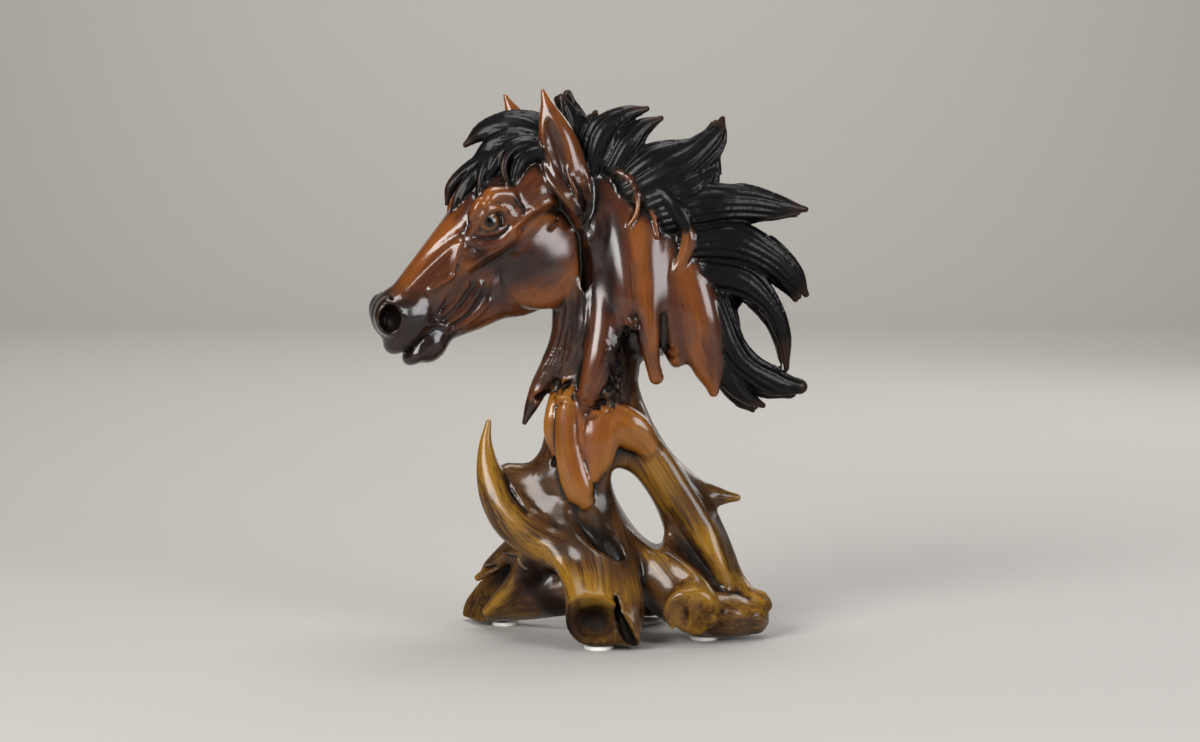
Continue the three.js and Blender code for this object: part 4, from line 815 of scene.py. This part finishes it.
# an object from corners in metres and faces, at the origin
def makeObject(name, corners, faces):
    mesh = bpy.data.meshes.new(name)
    mesh.vertices.add(len(corners))
    mesh.vertices.foreach_set("co", np.asarray(corners, np.float32).ravel())
    count = len(faces[0])
    mesh.loops.add(len(faces) * count)
    mesh.loops.foreach_set("vertex_index", np.asarray(faces, np.int32).ravel())
    mesh.polygons.add(len(faces))
    mesh.polygons.foreach_set("loop_start", np.arange(len(faces), dtype=np.int32) * count)
    mesh.update()
    mesh.validate()
    made = bpy.data.objects.new(name, mesh)
    bpy.context.scene.collection.objects.link(made)
    return made


# from the drawing's millimetres to the part's own frame
def toMetres(p):
    return (p - np.array(drawn["centre"])) / 1000


raw = makeObject("raw", toMetres(corners), quads)
thinner = raw.modifiers.new("thin", "DECIMATE")
thinner.ratio = min(1.0, drawn["triangles"] / (2 * len(quads)))
mesh = bpy.data.meshes.new_from_object(raw.evaluated_get(bpy.context.evaluated_depsgraph_get()))
bpy.data.objects.remove(raw)
mesh.name = "figure"
figure = bpy.data.objects.new("figure", mesh)
bpy.context.scene.collection.objects.link(figure)
mesh.shade_smooth()
print("figure thinned:", len(mesh.polygons), "faces")


# attributes of the figure, worked out for all its corners at once
points = np.empty(3 * len(mesh.vertices), np.float32)
mesh.vertices.foreach_get("co", points)
points = points.reshape(-1, 3).astype(float) * 1000 + np.array(drawn["centre"])
edges = np.empty(2 * len(mesh.edges), np.int32)
mesh.edges.foreach_get("vertices", edges)
edges = edges.reshape(-1, 2)


# each value moves halfway to the mean of its neighbours, so many times over
def spread(values, rounds):
    count = np.maximum(np.bincount(edges.ravel(), minlength=len(values)), 1)
    for _ in range(rounds):
        total = np.bincount(edges[:, 0], values[edges[:, 1]], len(values))
        total += np.bincount(edges[:, 1], values[edges[:, 0]], len(values))
        values = (values + total / count) / 2
    return values


# share of clay in a cube round each corner, less a half: above 0 in hollows, below 0 on ridges
def hollowness(reach):
    n = max(int(round(reach / clay.cell)), 1)
    total = np.pad((clay.field < 0).astype(np.float32), ((n + 1, n),) * 3)
    for axis in range(3):
        total = np.cumsum(total, axis=axis, dtype=np.float64).astype(np.float32)
        ahead = tuple(slice(2 * n + 1, None) if a == axis else slice(None) for a in range(3))
        behind = tuple(slice(None, -2 * n - 1) if a == axis else slice(None) for a in range(3))
        total = total[ahead] - total[behind]
    share = total / (2 * n + 1) ** 3
    place = (points - clay.low) / clay.cell
    i = np.clip(np.floor(place).astype(int), 0, np.array(share.shape) - 2)
    return blended(share, i, np.clip(place - i, 0, 1)) - 0.5


nearest = np.clip(np.round((points - clay.low) / clay.cell).astype(int), 0, np.array(clay.size) - 1)
label = clay.label[nearest[:, 0], nearest[:, 1], nearest[:, 2]]
kind = np.array(clay.kinds)[label]
grain = points.copy()
for n in np.unique(label):
    shape, picked = clay.shapes[n], label == n
    p = points[picked]
    if isinstance(shape, Stroke):
        side, out, past, wide, thick, run = shape.section(p, shape.nearestTo(p))
        grain[picked] = np.stack([side, out, run + past], axis=1)
    elif isinstance(shape, Bead):
        grain[picked] = ((p - shape.centre) @ shape.axes.T)[:, [2, 1, 0]]
    grain[picked] += 17.3 * n  # so that each shape has a grain of its own


# How the paint lies in the side view, along lines of (x, z): reach and strength; above 0 for orange and gold
# paint, below 0 for dark glaze and painted shadow in gaps, openings, hollows and under overhangs
tones = [
    (((-24, 203), (-38, 196)), 10, -0.9),
    (((-3, 228), (2, 210), (3, 192), (-3, 178)), 4.5, -1.6),
    (((10.5, 216), (12, 196), (10, 176)), 4.5, -0.9),
    (((36, 210), (37, 190), (38, 168)), 3, -0.3),
    (((-64, 180), (-52, 186)), 6, -0.5),
    (((60, 160), (64, 140)), 3, -0.4),
    (((20, 160), (15, 146), (16, 130)), 7, -1.6),
    (((-12, 176), (-6, 166)), 6, -1.0),
    (((-36, 184), (-24, 179), (-12, 184), (-6, 196)), 7, 0.8),
    (((-37, 218), (-28, 222), (-20, 226)), 4, 0.9),
    (((24.5, 216), (27, 196), (30, 176), (34, 160)), 4.5, 0.7),
    (((47.5, 202), (54, 176), (59, 149), (64, 134)), 6, 0.8),
    (((2, 238), (11, 226), (13, 212)), 7, -0.6),
    (((16, 236), (24, 222), (25, 206)), 4, 0.5),
    (((36, 229), (42, 216)), 4, 0.5),
    (((-74, 222), (-88, 202), (-100, 186)), 4, 0.7),
    (((-62, 212), (-56, 204)), 5, -0.6),
    (((-64, 198), (-50, 190)), 3, 0.5),
    (((-55, 235), (-45, 230)), 4, 0.9),
    (((-64, 180), (-40, 160)), 6, 0.2),
    (((-54, 110), (-53, 90), (-47, 72), (-38, 62)), 6, 0.9),
    (((-26, 48), (-10, 38), (4, 27)), 9, 0.9),
    (((34, 92), (46, 64), (62, 52)), 7, 0.6),
    (((62, 52), (72, 34), (88, 24)), 7, 0.7),
    (((-74, 24), (-56, 14), (-30, 18)), 8, 0.4),
    (((32, 46), (52, 34), (64, 26)), 6, 0.6),
    (((-26, 84), (-20, 70), (-6, 60)), 9, -0.7),
    (((8, 78), (8, 60), (18, 46)), 7, -0.9),
    (((40, 62), (52, 46), (60, 36)), 5, -0.5),
    (((-33, 36), (-28, 22), (-16, 12)), 8, -1.6),
    (((-37, 44), (-39, 34), (-43, 24), (-51, 15)), 2, 0.7),
    (((30, 20), (36, 8)), 7, -1.0),
]


# sum over the lines of strength exp(-(distance / reach)^2)
def toneAt(x, z):
    total = np.zeros(len(x))
    for line, reach, strength in tones:
        total += strength * np.exp(-distanceToLine(np.array(line, float), x, z) / reach**2)
    return total


# share of torn wood: 1.5 - 1.5 |offset / reach|, at most 1, for the nearest centre
def barkAt(p):
    shares = [1.5 - 1.5 * np.sqrt((((p - centre) / reach) ** 2).sum(axis=1)) for centre, reach in clay.bark]
    return np.clip(np.max(shares, axis=0), 0, 1)


# 1 at the corners of these kinds, 0 at the others
def ofKind(*kinds):
    return np.isin(kind, kinds).astype(float)


masks = {
    "mane": spread(ofKind("mane"), 1),
    "stand": spread(ofKind("root", "trunk", "sawn", "hollow"), 2),
    "tongue": spread(ofKind("tongue"), 1),
    "throat": spread(ofKind("throat"), 2),
    "pit": spread(ofKind("pit"), 1),
    "sawn": spread(ofKind("sawn", "hollow"), 1),
    "eye": ofKind("eye"),
    "ear": spread(ofKind("ear"), 1),
    "bark": barkAt(points),
    "tone": toneAt(points[:, 0], points[:, 2]),
    "fine": hollowness(1.7),
    "broad": hollowness(6.5),
}
for name, values in masks.items():
    mesh.attributes.new(name, "FLOAT", "POINT").data.foreach_set("value", values.astype(np.float32))
mesh.attributes.new("grain", "FLOAT_VECTOR", "POINT").data.foreach_set("vector",
    (grain / 1000).astype(np.float32).ravel())
print("figure's attributes set")


# One value or colour of a material. Sums and products of values add Math nodes.
class Shade:
    def __init__(self, tree, socket):
        self.tree, self.socket = tree, socket

    # any node: its settings, the values or links of its sockets by name or place, and the output wanted
    def node(self, kind, sockets=(), output=0, **settings):
        made = self.tree.nodes.new("ShaderNode" + kind)
        for name, value in settings.items():
            setattr(made, name, value)
        for name, value in dict(sockets).items():
            if isinstance(value, Shade):
                self.tree.links.new(value.socket, made.inputs[name])
            else:
                made.inputs[name].default_value = value
        return Shade(self.tree, made.outputs[output])

    def maths(self, operation, *values):
        return self.node("Math", enumerate(values), operation=operation)

    # sums, products and powers of sockets, and their reflected forms
    def __add__(self, other):
        return self.maths("ADD", self, other)

    def __sub__(self, other):
        return self.maths("SUBTRACT", self, other)

    def __rsub__(self, other):
        return self.maths("SUBTRACT", other, self)

    def __mul__(self, other):
        return self.maths("MULTIPLY", self, other)

    def __pow__(self, other):
        return self.maths("POWER", self, other)

    __radd__, __rmul__ = __add__, __mul__

    # 0 below low, 1 above high, eased between
    def ramp(self, low, high):
        return self.node(
            "MapRange",
            {"Value": self, "From Min": low, "From Max": high, "To Min": 0.0, "To Max": 1.0},
            interpolation_type="SMOOTHSTEP",
        )

    # from this colour to another by a share
    def mixed(self, other, share):
        other = (*other, 1) if isinstance(other, tuple) else other
        return self.node("Mix", {0: share, 6: self, 7: other}, 2, data_type="RGBA")

    def attribute(self, name, output="Fac"):
        return self.node("Attribute", (), output, attribute_name=name)

    def colour(self, values):
        made = self.node("RGB")
        made.socket.default_value = (*values, 1)
        return made

    # noise over a vector scaled by (x, y, z), with so many octaves
    def speckle(self, scale, octaves=2.0, roughness=0.5, offset=(0, 0, 0)):
        vector = self.node("Mapping", {"Vector": self, "Scale": scale, "Location": offset})
        return self.node("TexNoise",
            {"Vector": vector, "Scale": 1.0, "Detail": octaves, "Roughness": roughness})


# a material, a Shade that makes nodes in it, and its shader
def newMaterial(name):
    material = bpy.data.materials.new(name)
    material.use_nodes = True
    tree = material.node_tree
    shader = tree.nodes["Principled BSDF"]
    return material, Shade(tree, None), shader


# links a value into a socket of the shader
def feed(shade, shader, name):
    shade.tree.links.new(shade.socket, shader.inputs[name])


# Colours are linear. Glaze and painted shade darken the hollows, and paint is rubbed off ridges.
lacquer = {
    "skin": (0.043, 0.0105, 0.0032),
    "skinLight": (0.165, 0.048, 0.0062),
    # dark skin: painted shade in hollows and shadowed places, and the dark folds of the ears
    "skinDeep": (0.0055, 0.0016, 0.0008),
    "muzzle": (0.0055, 0.0026, 0.0021),
    "mane": (0.0012, 0.0012, 0.0013),
    "maneRubbed": (0.036, 0.015, 0.0075),
    "throat": (0.013, 0.0048, 0.0030),
    "tongue": (0.145, 0.040, 0.0055),
    "tongueLight": (0.22, 0.088, 0.0085),
    "root": (0.025, 0.0095, 0.0036),
    "rootLight": (0.082, 0.035, 0.0085),
    "gold": (0.215, 0.106, 0.0080),
    "rubbedEdge": (0.26, 0.19, 0.115),
    # near-black: painted shade in pits, deep hollows and shadowed caves, and the dark sawn ends
    "cave": (0.0032, 0.0018, 0.0012),
    "iris": (0.095, 0.031, 0.006),
    "pupil": (0.001, 0.001, 0.001),
    "eyeRim": (0.006, 0.002, 0.001),
    "eyeCentre": (56.6, 12.7),  # u and v on the head
    "roughness": 0.36,
    "coat": 1.0,
    "coatRoughness": 0.17,
    "coatIor": 1.45,
    "standCoat": 0.58,
    "specular": 0.1,  # of the paint under the coat
    "maneCoat": 0.28,
    "maneBump": 0.25,  # of the finest strands
    "grainBump": 0.10,
    "rootBump": 0.12,
}


def lacquerMaterial():
    material, make, shader = newMaterial("lacquered wood")
    look = lacquer
    fine, broad, tone = make.attribute("fine"), make.attribute("broad"), make.attribute("tone")
    mane, stand, tongue = make.attribute("mane"), make.attribute("stand"), make.attribute("tongue")
    throat, pit, sawn, eye = (make.attribute(name) for name in ("throat", "pit", "sawn", "eye"))
    grain = make.attribute("grain", "Vector")
    place = make.node("TexCoord", output="Object")
    streaks = grain.speckle((1500, 1500, 30), 3.0, 0.65)
    longStreaks = grain.speckle((330, 330, 14), 3.0, 0.6, (3, 1, 7))
    patches = place.speckle((26, 26, 26), 3.0, 0.55)
    blotches = place.speckle((75, 75, 75), 3.0, 0.6, (1, 5, 2))
    # painted shade with glaze: darker where more clay surrounds a corner, in hollows and creases
    hollowGlazeAndShade = (fine * 1.1 + broad * 0.75).ramp(0.01, 0.22)
    ridge = (fine * -1.0 + broad * -0.55).ramp(0.06, 0.34)

    # head and neck
    worn = (streaks * 0.55 + longStreaks * 0.6 + patches * 0.6 + tone * 0.42 - broad * 0.9).ramp(0.82, 1.36)
    skin = make.colour(look["skin"]).mixed(look["skinLight"], worn * 0.85)
    skin = skin.mixed(look["skinLight"], ridge * 0.55)
    # painted shade: hollows and the tone table's dark lines darken the skin towards skinDeep, together with
    # random patches of darker paint
    shaded = (patches * -0.9 + streaks * -0.3 - tone * 0.4 + 0.62).ramp(0.0, 0.36)
    skin = skin.mixed(look["skinDeep"], (hollowGlazeAndShade * 0.95 + shaded * 0.8).ramp(0.0, 1.0))

    # place on the head: u down the face, v up to the forehead
    def along(axis):
        offset = place.node("VectorMath", {0: place, 1: tuple(toMetres(headOrigin))}, operation="SUBTRACT")
        run = place.node("VectorMath", {0: offset, 1: tuple(axis)}, "Value", operation="DOT_PRODUCT")
        return run * (1000 / headUnit)

    u, v = along(alongHead), along(upHead)
    muzzle = (u + blotches * 10 - v * 0.25).ramp(106, 124) * u.ramp(100, 104)
    skin = skin.mixed(look["muzzle"], muzzle * 0.93)

    colour = skin.mixed(look["throat"], throat * (0.75 + ridge * -0.5))
    pale = (patches + streaks * 0.5 - broad * 0.6).ramp(0.6, 1.0)
    veined = (longStreaks * 0.7 + streaks * 0.4).ramp(0.5, 0.8)
    tongues = make.colour(look["tongue"]).mixed(look["tongueLight"], pale)
    # painted shade with glaze in the tongues' hollows
    tongues = tongues.mixed(look["skin"], veined * 0.7).mixed(look["skinDeep"], hollowGlazeAndShade * 0.9)
    colour = colour.mixed(tongues, tongue)

    # roots: brown, brushed with gold, rubbed pale along sharp edges and dark on the sawn ends, with painted
    # shade in hollows and painted shadow under overhangs
    brushed = longStreaks * 0.7 + patches * 0.7 + streaks * 1.0 + tone * 0.45 - broad * 0.8
    rubbed = (patches * 0.8 + longStreaks * 0.8).ramp(0.6, 0.95)
    root = make.colour(look["root"]).mixed(look["rootLight"], rubbed * 0.7)
    root = root.mixed(look["gold"], brushed.ramp(1.2, 1.75) * 0.92)
    # painted shade and shadow: hollows and the tone table's dark lines (under the horn, between the roots,
    # inside the opening) darken the roots towards cave
    shade = hollowGlazeAndShade * 0.9 - tone.ramp(0.2, 1.0) * 0.3 + (tone * -1.0).ramp(0.2, 1.0) * 0.7
    root = root.mixed(look["cave"], shade.ramp(0.0, 1.0))
    root = root.mixed(look["rubbedEdge"], (fine * -1.0 + blotches * 0.22).ramp(0.27, 0.42) * 0.6)
    root = root.mixed(look["cave"], sawn * (0.35 + blotches * 0.5))
    colour = colour.mixed(root, stand)

    # mane, ears' folds, cavities and torn wood
    strands = grain.speckle((1500, 1500, 30), 2.0, 0.5)
    tips = (ridge * 1.1 + strands * 0.7 - 0.5).ramp(0.25, 0.9)
    colour = colour.mixed(make.colour(look["mane"]).mixed(look["maneRubbed"], tips * 0.5), mane)
    colour = colour.mixed(look["skinDeep"], make.attribute("ear") * 0.55)
    # painted shade: nostrils, the mouth's slit and other pits nearly black
    colour = colour.mixed(look["cave"], pit * 0.92)
    bark = make.attribute("bark")
    # torn wood: darker paint in random blotches and painted shade in its hollows
    sunk = (fine * 2.0 + broad + blotches * 0.9).ramp(0.35, 0.75)
    colour = colour.mixed(look["cave"], bark * sunk * 0.8)

    # eye: black pupil, amber ring, dark rim, by distance from the eye's axis
    eyeU, eyeV = look["eyeCentre"]
    away = ((u - eyeU) ** 2.0 + (v - eyeV) ** 2.0) ** 0.5
    iris = make.colour(look["pupil"]).mixed(look["iris"], away.ramp(2.4, 3.8))
    colour = colour.mixed(iris.mixed(look["eyeRim"], (away - v * 0.12 + 1.5).ramp(4.0, 5.6)), eye)
    feed(colour, shader, "Base Color")

    # gloss: a coat over all of it, thinner on the mane and the roots, dull in pits and on torn or sawn wood
    feed(look["roughness"] + streaks * 0.12 + sawn * 0.2 - eye * 0.25, shader, "Roughness")
    coat = look["coat"] - mane * (look["coat"] - look["maneCoat"])
    coat = coat - stand * (look["coat"] - look["standCoat"])
    dull = pit * 0.9 + sawn * 0.65 + bark * 0.8 + (tone * -1.0).ramp(0.7, 1.5) * stand * 0.6
    feed((coat - dull).ramp(0.0, 1.0), shader, "Coat Weight")
    shader.inputs["Coat IOR"].default_value = look["coatIor"]
    shader.inputs["Coat Roughness"].default_value = look["coatRoughness"]
    shader.inputs["Specular IOR Level"].default_value = look["specular"]
    height = strands * (mane + throat) * look["maneBump"] + streaks * look["grainBump"]
    height = height + blotches * stand * look["rootBump"]
    bump = make.node("Bump", {"Height": height, "Strength": 1.0, "Distance": 0.001}, "Normal")
    feed(bump, shader, "Normal")
    return material


figure.data.materials.append(lacquerMaterial())
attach(figure, "root")
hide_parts("figure_horse_head")
print("figure lacquered")

# Stick-on pads: discs with a rounded edge, a profile turned about the vertical.
pads = {
    "names": ("pad_front", "pad_left", "pad_right", "pad_back"),
    "edge": 0.0004,  # radius of the rounded edge
    "steps": 96,
    "colour": (0.78, 0.77, 0.73),
    "roughness": 0.55,
    "marks": (0.6, 0.58, 0.53),  # colour of the soiled patches
}


# rings of radius r - e + e sin(a) at height e - e cos(a) below, mirrored above, closed by a point each end
def padMesh(low, high, edge, steps):
    radius, thickness = (high[0] - low[0]) / 2, high[2] - low[2]
    a = np.linspace(0, np.pi / 2, 7)
    r = np.concatenate([[0.45 * radius], radius - edge + edge * np.sin(a),
        radius - edge + edge * np.cos(a), [0.45 * radius]])
    z = np.concatenate([[0], edge - edge * np.cos(a), thickness - edge + edge * np.sin(a),
        [thickness]]) + low[2]
    turn = np.linspace(0, 2 * np.pi, steps, endpoint=False)
    centre = ((low[0] + high[0]) / 2, (low[1] + high[1]) / 2)
    rings = np.stack([
        centre[0] + r[:, None] * np.cos(turn),
        centre[1] + r[:, None] * np.sin(turn),
        np.repeat(z[:, None], steps, axis=1),
    ], axis=2)
    corners = np.vstack([rings.reshape(-1, 3), [(*centre, low[2]), (*centre, high[2])]])
    i, j = np.meshgrid(np.arange(len(r) - 1), np.arange(steps), indexing="ij")
    k = (j + 1) % steps
    sides = np.stack([i * steps + j, i * steps + k, (i + 1) * steps + k, (i + 1) * steps + j],
        axis=2).reshape(-1, 4)
    around = np.arange(steps)
    ahead = (around + 1) % steps
    foot, top = len(corners) - 2, len(corners) - 1
    last = (len(r) - 1) * steps
    faces = sides.tolist() + [(foot, b, a) for a, b in zip(around.tolist(), ahead.tolist())]
    return corners, faces + [(top, last + a, last + b) for a, b in zip(around.tolist(), ahead.tolist())]


def padMaterial():
    material, make, shader = newMaterial("pad rubber")
    place = make.node("TexCoord", output="Object")
    marks = place.speckle((260, 260, 260), 3.0, 0.6)
    colour = make.colour(pads["colour"]).mixed(pads["marks"], marks.ramp(0.5, 0.75) * 0.5)
    feed(colour, shader, "Base Color")
    shader.inputs["Roughness"].default_value = pads["roughness"]
    return material


rubber = padMaterial()
for name in pads["names"]:
    low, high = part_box(name)
    corners, faces = padMesh(tuple(low), tuple(high), pads["edge"], pads["steps"])
    padData = bpy.data.meshes.new(name + "_disc")
    padData.from_pydata(corners.tolist(), [], faces)
    padData.shade_smooth()
    padData.materials.append(rubber)
    pad = bpy.data.objects.new(name + "_disc", padData)
    bpy.context.scene.collection.objects.link(pad)
    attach(pad, "root")
    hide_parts(name)
print("pads made")

# The camera stands where the photograph was taken from, 1.5 m in front and 0.27 m above the table.
camera = {
    "place": (0.00518, -1.49787, 0.270),
    "pitch": 4.883,  # degrees below the horizon
    "lens": 84.75,
}
cameraData = bpy.data.cameras.new("camera")
cameraData.lens = camera["lens"]
cameraData.sensor_width = 36
viewer = bpy.data.objects.new("camera", cameraData)
viewer.location = camera["place"]
viewer.rotation_euler = (np.radians(90 - camera["pitch"]), 0, 0)
bpy.context.scene.collection.objects.link(viewer)
bpy.context.scene.camera = viewer

# Each lamp is a square panel: its place, what it faces, width in metres, watts and colour.
studio = {
    "lamps": (
        ("key", (-0.85, -1.15, 0.85), (0, 0, 0.15), 0.85, 36, (1.0, 0.97, 0.94)),
        ("fill", (1.15, -1.05, 0.6), (0, 0, 0.15), 0.7, 16, (0.98, 0.98, 1.0)),
        ("top", (0.1, 0.2, 1.5), (0, 0, 0.15), 0.8, 15, (1.0, 0.98, 0.96)),
        ("back", (0.9, 1.3, 0.8), (0, 0, 0.15), 0.7, 5, (1.0, 0.97, 0.94)),
        ("backdrop", (0, 1.3, 2.2), (0, 3.4, 0.8), 1.5, 68, (1.0, 0.98, 0.95)),
    ),
    "world": (0.80, 0.78, 0.75),
    "worldStrength": 0.08,
    "floor": (0.36, 0.35, 0.335),
    "floorRoughness": 0.7,
    "floorWidth": 12.0,
    "floorFront": -6.0,
    "wall": 3.4,  # distance behind the figure
    "wallHeight": 4.0,
    "bend": 1.0,  # radius of the curve between floor and wall
    "toneCurve": "Standard",
}


# a square panel that faces its target
def lamp(name, place, target, width, watts, colour):
    data = bpy.data.lights.new(name, "AREA")
    data.size, data.energy, data.color = width, watts, colour
    made = bpy.data.objects.new(name, data)
    made.location = place
    made.rotation_euler = (Vector(target) - Vector(place)).to_track_quat("-Z", "Y").to_euler()
    bpy.context.scene.collection.objects.link(made)


for row in studio["lamps"]:
    lamp(*row)
world = bpy.data.worlds.new("studio")
world.use_nodes = True
world.node_tree.nodes["Background"].inputs["Color"].default_value = (*studio["world"], 1)
world.node_tree.nodes["Background"].inputs["Strength"].default_value = studio["worldStrength"]
bpy.context.scene.world = world
bpy.context.scene.view_settings.view_transform = studio["toneCurve"]


# floor and wall in one sheet: a profile (y, z) with a quarter circle between them, swept along x
def sweepMesh():
    a = np.linspace(0, np.pi / 2, 25)
    bend = studio["bend"]
    y = np.concatenate([[studio["floorFront"]], studio["wall"] - bend + bend * np.sin(a), [studio["wall"]]])
    z = np.concatenate([[0], bend - bend * np.cos(a), [studio["wallHeight"]]])
    half = studio["floorWidth"] / 2
    left = np.stack([np.full(len(y), -half), y, z], axis=1)
    right = left * (-1, 1, 1)
    i = np.arange(len(y) - 1)
    n = len(y)
    return np.vstack([left, right]), np.stack([i, i + n, i + n + 1, i + 1], axis=1)


floor = makeObject("floor", *sweepMesh())
floor.data.shade_smooth()
floorMaterial, _, floorShader = newMaterial("pale floor")
floorShader.inputs["Base Color"].default_value = (*studio["floor"], 1)
floorShader.inputs["Roughness"].default_value = studio["floorRoughness"]
floor.data.materials.append(floorMaterial)
print("studio made")
